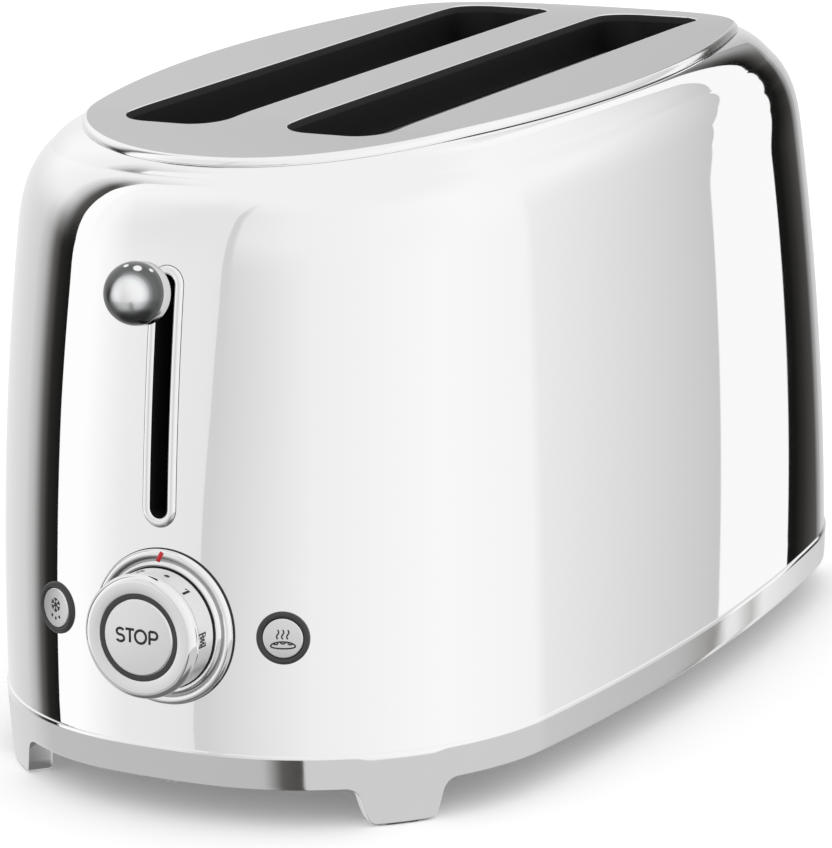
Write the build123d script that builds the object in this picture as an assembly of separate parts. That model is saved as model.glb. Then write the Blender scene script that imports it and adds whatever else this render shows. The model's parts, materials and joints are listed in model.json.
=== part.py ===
from build123d import *
import math
import os

# Long two-slot toaster: polished shell on a footed base band, satin top plate.
# Frame while modelling: middle of the body's plan, floor at z = 0, front (lever end) towards -Y.
# All lengths are millimetres.

# Base band, seen from above: eight tangent arcs
BODY_WIDTH = 211.0
BODY_LENGTH = 380.0
BAND_SIDE_R = 855.0
BAND_END_R = 243.0
BAND_CORNER_X = 9.5
BAND_BOTTOM = 13.0
BAND_HEIGHT = 11.5
BAND_WALL = 3.0
LEDGE_REACH = 8.0
LEDGE_T = 2.5

# Feet, which are drawn down from the band at its rounded corners
FOOT_ANGLE = 45.0
FOOT_WIDTH = 16.0
FOOT_DEPTH = 15.0
FOOT_KNEE_OUT = 2.5
FOOT_KNEE_DOWN = 8.0
FLARE_REACH = 18.0
PAD_T = 1.2
PAD_MARGIN = 1.5

# Shell: inset from the band, vertical bow, then a quarter-ellipse shoulder
SHELL_INSET = 0.5
SHELL_WALL = 1.0
SHELL_HEIGHT = 185.5
SIDE_BOW_R = 2000.0
END_BOW_R = 810.0
SHOULDER_DROP = 28.0
SHOULDER_IN_SIDE = 19.3
SHOULDER_IN_END = 25.5
SHOULDER_SWEEP = 0.97
TOP_SIDE_R = 405.0
TOP_END_R = 500.0
TOP_CORNER_X = 10.2
ROOF_FLANGE = 8.0
BOW_STEPS = 4
SHOULDER_STEPS = 8

# Top plate with its two bread slots
PLATE_SIDE_IN = 22.5
PLATE_END_IN = 31.5
PLATE_CORNER_X = 2.6
PLATE_T = 2.7
PLATE_ROLL = 58.5
PLATE_END_DROP = 4.5
SLOT_PITCH = 60.0
SLOT_WIDTH = 38.0
SLOT_END_IN = 32.5
SLOT_CORNER_R = 12.0
LINER_WALL = 1.0
LINER_DEPTH = 11.5

# Base plate, crumb opening, tray and its rails
BASE_T = 2.5
BASE_GAP = 0.2
CRUMB_OPEN_WIDTH = 96.0
CRUMB_OPEN_IN = 3.0
TRAY_SHEET = 0.8
TRAY_WIDTH = 100.0
TRAY_FLANGE = 3.5
TRAY_DEPTH = 5.0
TRAY_TOP = 12.1
TRAY_FRONT_IN = 1.0
TRAY_REAR_IN = 27.0
HANDLE_WIDTH = 62.0
HANDLE_REACH = 20.0
HANDLE_T = 4.2
RAIL_T = 1.0
TRAY_CLEAR = 0.3
RAIL_FRONT_OVER = 14.0
RAIL_REAR_OVER = 8.0
VENT_COUNT = 5
VENT_PITCH = 8.0
VENT_WIDTH = 3.0
VENT_LENGTH = 18.0
VENT_IN = 24.0

# Chassis end plates and toasting chamber
CHASSIS_CLEAR = 5.0
CHASSIS_T = 1.0
CHASSIS_MARGIN = 4.0
CHASSIS_TOP_WIDTH = 108.0
CHASSIS_TOP = 202.0
CHASSIS_SHOULDER = 186.0
CHASSIS_FOOT = 20.0
HEATER_GAP = 23.0
HEATER_T = 1.0
HEATER_BOTTOM = 44.0
HEATER_TOP = 178.0
RIBBON_W = 1.6
RIBBON_T = 0.3
RIBBON_RUNS = 11
RIBBON_PITCH = 11.0
RIBBON_BOTTOM = 56.0
RIBBON_IN = 17.0
REFLECTOR_GAP = 28.0
REFLECTOR_T = 0.6
REFLECTOR_BOTTOM = 32.0
REFLECTOR_TOP = 194.0

# Bread guides, which close in as the lever goes down
GUIDE_OUT = 17.0
GUIDE_TRAVEL = 9.0
GUIDE_RAIL_R = 1.3
GUIDE_WIRE_R = 0.9
GUIDE_TOP = 195.5
GUIDE_BOTTOM = 37.0
GUIDE_WIRE_COUNT = 11
GUIDE_WIRE_PITCH = 20.0
GUIDE_END_GAP = 4.0
GUIDE_CLEAR = 0.35

# Lever, carriage and bread racks
LEVER_TRAVEL = 66.0
LEVER_TILT = 12.0
LEVER_Z = 168.4
LEVER_ARM = (4.0, 7.0)
KNOB_BALL_R = 10.6
KNOB_BARREL = 5.3
KNOB_STANDOFF = 13.4
TRIM_WIDTH = 11.8
TRIM_SLOT = 6.0
TRIM_BOTTOM = 95.6
TRIM_TOP = 177.0
TRIM_PROUD = 1.2
TRIM_SLEEVE = 1.0
TRIM_DEPTH = 3.0
ROD_R = 2.5
ROD_X = 15.0
ROD_AHEAD = 14.0
ROD_FIT = 0.05
ROD_BRACKET_Z = 186.0
CARRIAGE_T = 2.5
CARRIAGE_BACK = 7.5
CARRIAGE_HALF = 34.0
CARRIAGE_BOTTOM = 106.0
CARRIAGE_TOP = 170.0
BEARING_WALL = 3.0
BOSS_WIDTH = 10.0
RACK_T = 1.5
RACK_DEPTH = 12.0
RACK_TOP = 120.0
RACK_OVER = 3.5
RACK_CLEAR = 0.4
FINGER_WIDTH = 11.0
FINGER_COUNT = 9
FINGER_PITCH = 26.0
FINGER_RISE = 4.0
SPRING_MEAN_R = 4.1
SPRING_WIRE = 1.0
SPRING_TURNS = 14
SPRING_SEAT = 0.3
ARMATURE_T = 3.0
MAGNET_GAP = 0.4
COIL_R = 8.5
CORE_R = 4.0
SWITCH_WIDTH = 9.0
SWITCH_DEPTH = 12.0
SWITCH_PLUNGER = 4.0

# Dial and push buttons on the front
DIAL_X = 2.0
DIAL_Z = 63.9
BEZEL_R = 25.0
BEZEL_EDGE = 1.0
BEZEL_STEP_R = 22.9
BEZEL_STEP = 2.4
BEZEL_LIP = 1.2
BEZEL_BORE_R = 6.0
BEZEL_ROOT = 5.0
BEZEL_HEIGHT = 5.2
BEZEL_FLOOR = 2.6
DIAL_R = 20.0
DIAL_REACH = 16.6
DIAL_GAP = 0.35
DIAL_ROUND = 2.2
DIAL_WALL = 2.0
DIAL_FLOOR = (4.2, 8.2)
RING_R = 14.1
STOP_R = 12.0
STOP_GAP = 0.3
STOP_PROUD = 0.3
STOP_TRAVEL = 2.0
STOP_STEM_R = 1.5
CAP_EDGE = 0.5
DIAL_SHAFT_R = 3.5
DIAL_SHAFT_BORE = 1.9
DIAL_HOLE_R = 9.0
POT_SIZE = 20.0
POT_FRONT = 12.0
SHAFT_DEPTH = 19.0
STEM_DEPTH = 22.0
MARK_WIDTH = 2.0
MARK_T = 0.5
MARK_INSET = 1.2
BUTTON_X = 41.3
BUTTON_Z = 63.2
BUTTON_RING_R = 8.2
BUTTON_RING_PROUD = 1.3
RING_EDGE = 0.5
BUTTON_R = 6.1
BUTTON_GAP = 0.3
BUTTON_PROUD = 1.5
BUTTON_TRAVEL = 1.8
BUTTON_STEM_R = 2.0
SLEEVE_R = 7.3
SLEEVE_DEPTH = 11.0
SLEEVE_FLOOR = 1.5
BUTTON_STEM_DEPTH = 17.0
SWITCH_R = 4.5

# Control board and mains parts
BOARD_IN = 30.0
BOARD_T = 1.6
BOARD_HALF = 52.0
BOARD_BOTTOM = 38.0
BOARD_HEIGHT = 52.0
STANDOFF_R = 2.5
STANDOFF_MARGIN = 5.0
TERMINAL_BOX = (26.0, 34.0, 15.0)
MAINS_SIDE_IN = 11.7
TERMINAL_BACK = 57.0
TERMINAL_CHAMFER = 2.2
GLAND_BACK = 23.0
GLAND_R = 7.0
GLAND_BORE = 3.6
GLAND_DROP = 4.0
GLAND_RISE = 5.0
GLAND_FLANGE = 2.0
BUS_HEIGHT = 8.0
BUS_HALF = 56.0
BUS_T = 1.0
BUS_Z = (27.0, 132.0)
INSULATOR_T = 2.0
INSULATOR_MARGIN = 2.0
LEAD_R = 1.3
LEAD_BEND = 6.0
LEAD_SPREAD = 3.0
LEAD_LEGS = (12.0, 7.5)

# Screws
SCREW_R = 1.5
SCREW_HEAD_R = 3.0
SCREW_HEAD_T = 1.8
SCREW_SIDE_Y = 62.0
CHASSIS_SCREW_X = 50.0

# Values worked out from the sizes above
BAND_TOP = BAND_BOTTOM + BAND_HEIGHT
RIM_Z = BAND_TOP + SHELL_HEIGHT
PLATE_Z = RIM_Z + PLATE_T
SHOULDER_Z = RIM_Z - SHOULDER_DROP
BASE_Z = BAND_BOTTOM + LEDGE_T
BASE_TOP = BASE_Z + BASE_T
SLOT_X = SLOT_PITCH / 2
LINER_BOTTOM = RIM_Z - LINER_DEPTH
ROD_TOP = ROD_BRACKET_Z + 2 * CHASSIS_T
LEVER_SLOPE = math.tan(math.radians(LEVER_TILT))
PLATE_WIDTH = BODY_WIDTH - 2 * PLATE_SIDE_IN
PLATE_LENGTH = BODY_LENGTH - 2 * PLATE_END_IN
PLATE_FLAT = PLATE_LENGTH - 2 * PLATE_ROLL
SLOT_LENGTH = PLATE_LENGTH - 2 * SLOT_END_IN
CHASSIS_Y = SLOT_LENGTH / 2 + CHASSIS_CLEAR
REFLECTOR_OUT = SLOT_X + REFLECTOR_GAP
CHASSIS_WIDTH = 2 * (REFLECTOR_OUT + CHASSIS_MARGIN)
CRUMB_OPEN_LENGTH = 2 * (CHASSIS_Y - CRUMB_OPEN_IN)
TRAY_FRONT = TRAY_FRONT_IN - CHASSIS_Y
TRAY_REAR = BODY_LENGTH / 2 - TRAY_REAR_IN
RAIL_FRONT = -CHASSIS_Y - RAIL_FRONT_OVER
RAIL_REAR = CHASSIS_Y + RAIL_REAR_OVER
VENT_Y = BODY_LENGTH / 2 - VENT_IN
RIBBON_HALF = CHASSIS_Y - RIBBON_IN
ROD_Y = CHASSIS_Y + ROD_AHEAD
CARRIAGE_Y = ROD_Y - CARRIAGE_BACK
RACK_END = CHASSIS_Y + RACK_OVER
BOARD_Y = BODY_LENGTH / 2 - BOARD_IN
BOARD_TOP = BOARD_BOTTOM + BOARD_HEIGHT
LEAD_START_Y = CHASSIS_Y + CHASSIS_T + INSULATOR_T + BUS_T


def corner_radius(half_w, half_l, side_r, end_r, centre_x):
    """Radius of the corner arc that is tangent to both arcs, for a given x of its centre."""
    side_x, end_y, step = centre_x - half_w + side_r, half_l - end_r, side_r - end_r
    base = (side_x**2 - centre_x**2 - end_y**2 + step**2) / (2 * step)
    slope = end_y / step
    square = 1 - slope**2
    root = math.sqrt((base * slope)**2 + square * (base**2 - side_x**2))
    centre_y = base * slope / square + root / abs(square)
    return side_r - base - slope * centre_y


def oval(half_w, half_l, side_r, end_r, centre_x):
    """Half width, half length and the three arc radii of a tangent-arc oval."""
    corner_r = corner_radius(half_w, half_l, side_r, end_r, centre_x)
    return half_w, half_l, side_r, end_r, corner_r


BAND = oval(BODY_WIDTH / 2, BODY_LENGTH / 2, BAND_SIDE_R, BAND_END_R, BAND_CORNER_X)
PLATE = oval(PLATE_WIDTH / 2, PLATE_LENGTH / 2, TOP_SIDE_R, TOP_END_R, PLATE_CORNER_X)


def corner_centre(outline):
    """Centre of the corner arc that is tangent to the side arc and to the end arc."""
    half_w, half_l, side_r, end_r, corner_r = outline
    side_x, end_y = half_w - side_r, half_l - end_r
    to_side, to_end = side_r - corner_r, end_r - corner_r
    gap = math.hypot(side_x, end_y)
    along = (to_side**2 - to_end**2 + gap**2) / (2 * gap)
    off = math.sqrt(to_side**2 - along**2)
    ux, uy = -side_x / gap, end_y / gap
    return side_x + along * ux - off * uy, along * uy + off * ux


def outline_x(outline, y):
    """Half width of an oval at y, for a y within its side arc or corner arc."""
    half_w, half_l, side_r, end_r, corner_r = outline
    cx, cy = corner_centre(outline)
    meet_y = side_r * cy / math.hypot(cx - half_w + side_r, cy)
    if y < meet_y:
        return half_w - side_r + math.sqrt(side_r**2 - y**2)
    return cx + math.sqrt(corner_r**2 - (y - cy) ** 2)


# The mains parts stand beside the chamber, as far out as the leads can pass inside the shell's corner
MAINS_X = MAINS_SIDE_IN - outline_x(BAND, LEAD_START_Y + max(LEAD_LEGS))
TERMINAL_AT = (MAINS_X, CHASSIS_Y - TERMINAL_BACK)
GLAND_AT = (MAINS_X, CHASSIS_Y - GLAND_BACK)


def grown(outline, by):
    """The same outline, moved outward by a constant distance."""
    return tuple(value + by for value in outline)


def oval_wire(outline, z=0.0):
    """Closed outline of eight tangent arcs at height z."""
    half_w, half_l, side_r, end_r, corner_r = outline
    cx, cy = corner_centre(outline)
    to_side = Vector(cx - half_w + side_r, cy).normalized()
    to_end = Vector(cx, cy - half_l + end_r).normalized()
    side = Vector(half_w - side_r, 0) + to_side * side_r
    middle = Vector(cx, cy) + (to_side + to_end).normalized() * corner_r
    end = Vector(0, half_l - end_r) + to_end * end_r
    quarter = [side, middle, end]

    def point(p, sx, sy):
        return (p.X * sx, p.Y * sy, z)

    edges = []
    for sx, sy in ((1, 1), (-1, 1), (-1, -1), (1, -1)):
        order = quarter if sx * sy > 0 else quarter[::-1]
        edges.append(ThreePointArc(*[point(p, sx, sy) for p in order]))
        if sx * sy > 0:
            edges.append(ThreePointArc(point(end, sx, sy), (0, half_l * sy, z), point(end, -sx, sy)))
        else:
            edges.append(ThreePointArc(point(side, sx, sy), (half_w * sx, 0, z), point(side, sx, -sy)))
    return Wire(edges)


def oval_prism(outline, low, high):
    """Upright solid with an oval outline."""
    return extrude(make_face(oval_wire(outline, low)), high - low, dir=(0, 0, 1))


def box(x, y, z):
    """Box from three (low, high) pairs."""
    size = [high - low for low, high in (x, y, z)]
    middle = [(high + low) / 2 for low, high in (x, y, z)]
    return Pos(*middle) * Box(*size)


def spread(count, pitch):
    """Evenly spaced positions about the middle."""
    first = -pitch * (count - 1) / 2
    return [first + i * pitch for i in range(count)]


def mirrored(span):
    """The span on the other side of the middle plane."""
    return (-span[1], -span[0])


def tube(centre, z, outer_r, inner_r=0.0):
    """Upright cylinder or tube at a plan position."""
    body = Cylinder(outer_r, z[1] - z[0])
    if inner_r:
        body -= Cylinder(inner_r, z[1] - z[0])
    return Pos(centre[0], centre[1], (z[0] + z[1]) / 2) * body


def turned(plane, points):
    """Solid of revolution about a plane's normal, from (radius, height) points."""
    profile = make_face(Polyline(*[(r, 0, h) for r, h in points], close=True))
    return plane.location * revolve(profile, Axis.Z)


def shell_insets(z):
    """How far the shell's side and its end stand in from the band at height z."""
    rise = max(z - BAND_TOP, 0.0)
    low_rise = min(rise, SHOULDER_Z - BAND_TOP)
    insets = []
    for bow_r, reach in ((SIDE_BOW_R, SHOULDER_IN_SIDE), (END_BOW_R, SHOULDER_IN_END)):
        inset = SHELL_INSET + low_rise**2 / (2 * bow_r)
        if z > SHOULDER_Z:
            up = (z - SHOULDER_Z) / SHOULDER_DROP * SHOULDER_SWEEP
            inset += (z - SHOULDER_Z) * low_rise / bow_r
            inset += reach * (1 - math.sqrt(1 - up**2))
        insets.append(inset)
    return insets


TOP_IN = shell_insets(RIM_Z)
TOP = oval(BAND[0] - TOP_IN[0], BAND[1] - TOP_IN[1], TOP_SIDE_R, TOP_END_R, TOP_CORNER_X)


def shell_outline(z):
    """The shell's oval at height z."""
    side_in, end_in = shell_insets(z)
    blend = (side_in - SHELL_INSET) / (TOP_IN[0] - SHELL_INSET)
    arcs = [low + (high - low) * blend for low, high in zip(BAND[2:], TOP[2:])]
    return (BAND[0] - side_in, BAND[1] - end_in, *arcs)


def shell_lean(z):
    """Angle of the shell's wall from the vertical at height z, mean of side and end."""
    step = 0.05
    low, high = shell_insets(z - step), shell_insets(z)
    return math.atan(sum(b - a for a, b in zip(low, high)) / (2 * step))


def shell_wire(z, offset):
    """The shell's oval at height z, moved square to the wall by offset."""
    lean = shell_lean(z)
    outline = grown(shell_outline(z), offset * math.cos(lean))
    return oval_wire(outline, z + offset * math.sin(lean))


def shell_form(offset=0.0, skirt=0.0):
    """Solid inside the shell's surface, moved outward by offset, with an optional skirt below."""
    bow = [BAND_TOP + (SHOULDER_Z - BAND_TOP) * i / BOW_STEPS for i in range(BOW_STEPS + 1)]
    turns = [math.pi / 2 * i / SHOULDER_STEPS for i in range(SHOULDER_STEPS + 1)]
    shoulder = [SHOULDER_Z + SHOULDER_DROP * math.sin(turn) for turn in turns]
    form = Solid.make_loft([shell_wire(z, offset) for z in bow])
    form = form.fuse(Solid.make_loft([shell_wire(z, offset) for z in shoulder]))
    if skirt:
        lean = shell_lean(BAND_TOP)
        outline = grown(shell_outline(BAND_TOP), offset * math.cos(lean))
        start = BAND_TOP + offset * math.sin(lean)
        form = form.fuse(oval_prism(outline, start - skirt, start))
    return form


def roof_space(drop):
    """Everything below the plate's rolled upper surface, which is lowered by drop."""
    flat, half, far = PLATE_FLAT / 2, PLATE_LENGTH / 2, BODY_LENGTH / 2
    top = PLATE_Z - drop
    roll_r = ((half - flat) ** 2 + PLATE_END_DROP**2) / (2 * PLATE_END_DROP)
    turn = math.asin((half - flat) / roll_r)
    middle = (flat + roll_r * math.sin(turn / 2), top - roll_r + roll_r * math.cos(turn / 2))
    end = (half, top - PLATE_END_DROP)
    edge_z = end[1] - (far - half) * math.tan(turn)
    edges = [Line((0, -flat, top), (0, flat, top)), Line((0, far, 0), (0, -far, 0))]
    for side in (1, -1):
        start, mid, stop = (0, side * flat, top), (0, side * middle[0], middle[1]), (0, side * half, end[1])
        corner = (0, side * far, edge_z)
        edges += [ThreePointArc(start, mid, stop), Line(stop, corner), Line(corner, (0, side * far, 0))]
    profile = make_face(Wire.combine(edges)[0])
    return extrude(profile, BODY_WIDTH / 2, dir=(1, 0, 0), both=True)


def group(shapes):
    """Several separate solids as one shape."""
    return Compound([solid for shape in shapes for solid in shape.solids()])


def outline_y(x, z):
    """Distance from the middle to the shell's front surface at x and z."""
    half_w, half_l, side_r, end_r, corner_r = shell_outline(z)
    cx, cy = corner_centre((half_w, half_l, side_r, end_r, corner_r))
    meet_x = end_r * cx / math.hypot(cx, cy - half_l + end_r)
    if abs(x) < meet_x:
        return half_l - end_r + math.sqrt(end_r**2 - x**2)
    return cy + math.sqrt(corner_r**2 - (abs(x) - cx) ** 2)


def front_plane(x, z):
    """Plane that touches the shell's front at x and z, with its normal pointing out."""
    step = 0.01
    slope_x = (outline_y(x + step, z) - outline_y(x - step, z)) / (2 * step)
    slope_z = (outline_y(x, z + step) - outline_y(x, z - step)) / (2 * step)
    normal = Vector(-slope_x, -1, -slope_z).normalized()
    across = Vector(0, 0, 1).cross(normal)
    return Plane(origin=(x, -outline_y(x, z), z), x_dir=across, z_dir=normal)


DIAL_PLANE = front_plane(DIAL_X, DIAL_Z)
DEFROST_PLANE = front_plane(-BUTTON_X, BUTTON_Z)
REHEAT_PLANE = front_plane(BUTTON_X, BUTTON_Z)
SHELL_SOLID = shell_form() & roof_space(PLATE_T)


def slot_prism(x, margin, low, high):
    """Upright rounded slot around a bread slot's outline, grown by a margin."""
    outline = RectangleRounded(
        SLOT_WIDTH + 2 * margin, SLOT_LENGTH + 2 * margin, SLOT_CORNER_R + margin
    )
    return Pos(x, 0, low) * extrude(outline, high - low)


def lever_window(width, low, high):
    """Prism along Y with the round-ended outline of the lever's slot."""
    outline = SlotOverall(high - low, width, rotation=90)
    return Pos(0, 0, (low + high) / 2) * Rot(90, 0, 0) * extrude(outline, BODY_LENGTH)


def foot_profile(flared):
    """Front face of a foot, from the floor pad up to the band."""
    half = FOOT_WIDTH / 2
    knee = half + FOOT_KNEE_OUT
    knee_z = BAND_BOTTOM - FOOT_KNEE_DOWN
    if not flared:
        points = [(-half, PAD_T), (half, PAD_T), (knee, knee_z), (knee, BAND_TOP), (-knee, BAND_TOP)]
        points.append((-knee, knee_z))
        return make_face(Polyline(*[(x, 0, z) for x, z in points], close=True))
    run, drop = FLARE_REACH - FOOT_KNEE_OUT, FOOT_KNEE_DOWN
    flare_r = (run**2 + drop**2) / (2 * drop)
    end = knee + run
    angle = math.atan2(flare_r - drop, -run)
    half_way = (angle + math.pi / 2) / 2
    middle = (end + flare_r * math.cos(half_way), BAND_BOTTOM - flare_r + flare_r * math.sin(half_way))
    right = [
        Line((half, 0, PAD_T), (knee, 0, knee_z)),
        ThreePointArc((knee, 0, knee_z), (middle[0], 0, middle[1]), (end, 0, BAND_BOTTOM)),
        Line((end, 0, BAND_BOTTOM), (end, 0, BAND_TOP)),
    ]
    left = [edge.mirror(Plane.YZ) for edge in right]
    closing = [
        Line((-half, 0, PAD_T), (half, 0, PAD_T)),
        Line((-end, 0, BAND_TOP), (end, 0, BAND_TOP)),
    ]
    return make_face(Wire.combine(right + left + closing)[0])


def foot_places():
    """Plan position and outward angle of each foot."""
    cx, cy = corner_centre(BAND)
    places = []
    for sx, sy in ((1, -1), (-1, -1), (1, 1), (-1, 1)):
        angle = math.degrees(math.atan2(sy * math.sin(math.radians(FOOT_ANGLE)),
                                        sx * math.cos(math.radians(FOOT_ANGLE))))
        x = sx * (cx + BAND[4] * math.cos(math.radians(FOOT_ANGLE)))
        y = sy * (cy + BAND[4] * math.sin(math.radians(FOOT_ANGLE)))
        places.append((x, y, angle))
    return places


def at_feet(shape, inward=0.0):
    """Copies of a shape, modelled facing -Y, placed at the four feet."""
    copies = []
    for x, y, angle in foot_places():
        out = math.radians(angle)
        place = Pos(x - inward * math.cos(out), y - inward * math.sin(out), 0)
        copies.append(place * Rot(0, 0, angle + 90) * shape)
    return copies


def base_band():
    """Band with its inner ledge and the four feet drawn down from it."""
    ring = oval_prism(BAND, BAND_BOTTOM, BAND_TOP)
    ring -= oval_prism(grown(BAND, -BAND_WALL), BASE_Z, BAND_TOP)
    ring -= oval_prism(grown(BAND, -BAND_WALL - LEDGE_REACH), BAND_BOTTOM, BASE_Z)
    full = oval_prism(BAND, 0, BAND_BOTTOM)
    skin = full - oval_prism(grown(BAND, -BAND_WALL), 0, BAND_BOTTOM)
    block = full - oval_prism(grown(BAND, -FOOT_DEPTH), 0, BAND_BOTTOM)
    reach = 2 * FOOT_DEPTH
    flared = Pos(0, reach / 2, 0) * extrude(foot_profile(True), reach, dir=(0, -1, 0))
    plain = Pos(0, reach / 2, 0) * extrude(foot_profile(False), reach, dir=(0, -1, 0))
    for flare, core in zip(at_feet(flared), at_feet(plain)):
        ring += skin & flare
        ring += block & core
    for x, y in base_screw_places():
        ring -= tube((x, y), (BAND_BOTTOM, BASE_Z), SCREW_R)
    return ring


def foot_pads():
    """Rubber pads under the feet."""
    size = (FOOT_WIDTH - 2 * PAD_MARGIN, FOOT_DEPTH - 2 * PAD_MARGIN)
    pad = extrude(RectangleRounded(*size, PAD_MARGIN), PAD_T)
    return group(at_feet(pad, inward=FOOT_DEPTH / 2 + PAD_MARGIN / 2))


def base_screw_places():
    """Plan positions of the screws through the band's ledge."""
    inset = BAND_WALL + LEDGE_REACH / 2
    side_x = outline_x(BAND, SCREW_SIDE_Y) - inset
    places = [(sx * side_x, sy * SCREW_SIDE_Y) for sx in (1, -1) for sy in (1, -1)]
    return places + [(0, inset - BAND[1])]


def chassis_screw_places():
    """Plan positions of the screws through the chassis feet."""
    y = CHASSIS_Y + CHASSIS_T + CHASSIS_FOOT / 2
    return [(sx * CHASSIS_SCREW_X, sy * y) for sx in (1, -1) for sy in (1, -1)]


def body_shell():
    """Polished steel shell: one bowed wall with a rounded shoulder and an open roof."""
    hollow = shell_form(-SHELL_WALL, skirt=2 * SHELL_WALL) & roof_space(PLATE_T + SHELL_WALL)
    wall = SHELL_SOLID - hollow
    wall -= oval_prism(grown(PLATE, -ROOF_FLANGE), SHOULDER_Z, PLATE_Z)
    wall -= lever_window(TRIM_SLOT + 2 * TRIM_SLEEVE, *lever_window_ends(TRIM_SLEEVE))
    depth = 4 * SLEEVE_R
    wall -= DIAL_PLANE.location * Cylinder(DIAL_HOLE_R, depth)
    for plane in (DEFROST_PLANE, REHEAT_PLANE):
        wall -= plane.location * Cylinder(SLEEVE_R, depth)
    return wall


def lever_window_ends(margin):
    """Lowest and highest z of the lever's slot, with a margin around it."""
    rim = (TRIM_WIDTH - TRIM_SLOT) / 2
    return TRIM_BOTTOM + rim - margin, TRIM_TOP - rim + margin


def lever_slot_trim():
    """Raised trim around the lever's slot, with a sleeve through the shell."""
    proud = shell_form(TRIM_PROUD) - SHELL_SOLID
    rim = proud & lever_window(TRIM_WIDTH, TRIM_BOTTOM, TRIM_TOP)
    layer = shell_form(TRIM_PROUD) - shell_form(-TRIM_DEPTH)
    sleeve = layer & lever_window(TRIM_SLOT + 2 * TRIM_SLEEVE, *lever_window_ends(TRIM_SLEEVE))
    return (rim + sleeve) - lever_window(TRIM_SLOT, *lever_window_ends(0.0))


def top_plate():
    """Satin plate that follows the shell below and carries the bread slots."""
    plate = oval_prism(PLATE, SHOULDER_Z, PLATE_Z) & roof_space(0.0)
    plate -= SHELL_SOLID
    for x in (-SLOT_X, SLOT_X):
        plate -= slot_prism(x, 0.0, SHOULDER_Z, PLATE_Z)
    return plate


def slot_liner(x):
    """Dark frame that hangs below the plate around one bread slot."""
    outer = slot_prism(x, LINER_WALL, LINER_BOTTOM, RIM_Z)
    frame = outer - slot_prism(x, 0.0, LINER_BOTTOM, RIM_Z)
    return frame & roof_space(PLATE_T)


def base_plate():
    """Plate that closes the base, with the crumb opening and vents."""
    plate = oval_prism(grown(BAND, -BAND_WALL - BASE_GAP), BASE_Z, BASE_TOP)
    half_w, half_l = CRUMB_OPEN_WIDTH / 2, CRUMB_OPEN_LENGTH / 2
    plate -= box((-half_w, half_w), (-half_l, half_l), (BASE_Z, BASE_TOP))
    vent = extrude(SlotOverall(VENT_LENGTH, VENT_WIDTH, rotation=90), BASE_T)
    for x in spread(VENT_COUNT, VENT_PITCH):
        plate -= Pos(x, VENT_Y, BASE_Z) * vent
    plate -= tube(GLAND_AT, (BASE_Z, BASE_TOP), GLAND_R)
    for place in base_screw_places() + chassis_screw_places():
        plate -= tube(place, (BASE_Z, BASE_TOP), SCREW_R)
    return plate


def tray_flange_half():
    """Half width of the crumb tray over its flanges."""
    return TRAY_WIDTH / 2 + TRAY_FLANGE


def tray_rails():
    """Two bent rails under the base plate that carry the crumb tray."""
    web = tray_flange_half() + TRAY_CLEAR
    low = TRAY_TOP - TRAY_SHEET - TRAY_CLEAR - RAIL_T
    rails = []
    for flip in (False, True):
        upright = (web, web + RAIL_T)
        lip = (TRAY_WIDTH / 2 + TRAY_CLEAR, web + RAIL_T)
        if flip:
            upright, lip = mirrored(upright), mirrored(lip)
        rail = box(upright, (RAIL_FRONT, RAIL_REAR), (low, BASE_Z))
        rails.append(rail + box(lip, (RAIL_FRONT, RAIL_REAR), (low, low + RAIL_T)))
    return group(rails)


def crumb_tray():
    """Shallow sheet tray with side flanges."""
    half, outer = TRAY_WIDTH / 2, tray_flange_half()
    low = TRAY_TOP - TRAY_DEPTH
    y = (TRAY_FRONT, TRAY_REAR)
    pan = box((-half, half), y, (low, TRAY_TOP))
    pan += box((-outer, outer), y, (TRAY_TOP - TRAY_SHEET, TRAY_TOP))
    inner_y = (TRAY_FRONT + TRAY_SHEET, TRAY_REAR - TRAY_SHEET)
    return pan - box((-half + TRAY_SHEET, half - TRAY_SHEET), inner_y, (low + TRAY_SHEET, TRAY_TOP))


def crumb_tray_handle():
    """Grip at the rear end of the tray, below the band, with a finger groove underneath."""
    half, round_r = HANDLE_WIDTH / 2, HANDLE_REACH / 2
    z = (TRAY_TOP - HANDLE_T, TRAY_TOP)
    grip = box((-half, half), (TRAY_REAR, TRAY_REAR + HANDLE_REACH), z)
    grip = fillet(grip.edges().filter_by(Axis.Z).sort_by(Axis.Y)[-2:], round_r)
    groove_y = (TRAY_REAR + round_r / 2, TRAY_REAR + round_r)
    return grip - box((round_r - half, half - round_r), groove_y, (z[0], z[0] + HANDLE_T / 2))


def guide_x(side, inner):
    """Plan x of a bread guide at rest, side -1 or 1, inner or outer."""
    return side * (SLOT_X - GUIDE_OUT if inner else SLOT_X + GUIDE_OUT)


def guide_direction(side, inner):
    """Sign of X in which a guide closes on the bread."""
    return side if inner else -side


def guide_slots(low_y, high_y):
    """Slots in the chassis plates in which the guides' rails run."""
    r = GUIDE_RAIL_R + GUIDE_CLEAR
    slots = []
    for side in (-1, 1):
        for inner in (False, True):
            x0 = guide_x(side, inner)
            x1 = x0 + guide_direction(side, inner) * GUIDE_TRAVEL
            span = (min(x0, x1) - r, max(x0, x1) + r)
            for z in (GUIDE_BOTTOM, GUIDE_TOP):
                slots.append(box(span, (low_y, high_y), (z - r, z + r)))
    return slots


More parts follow.
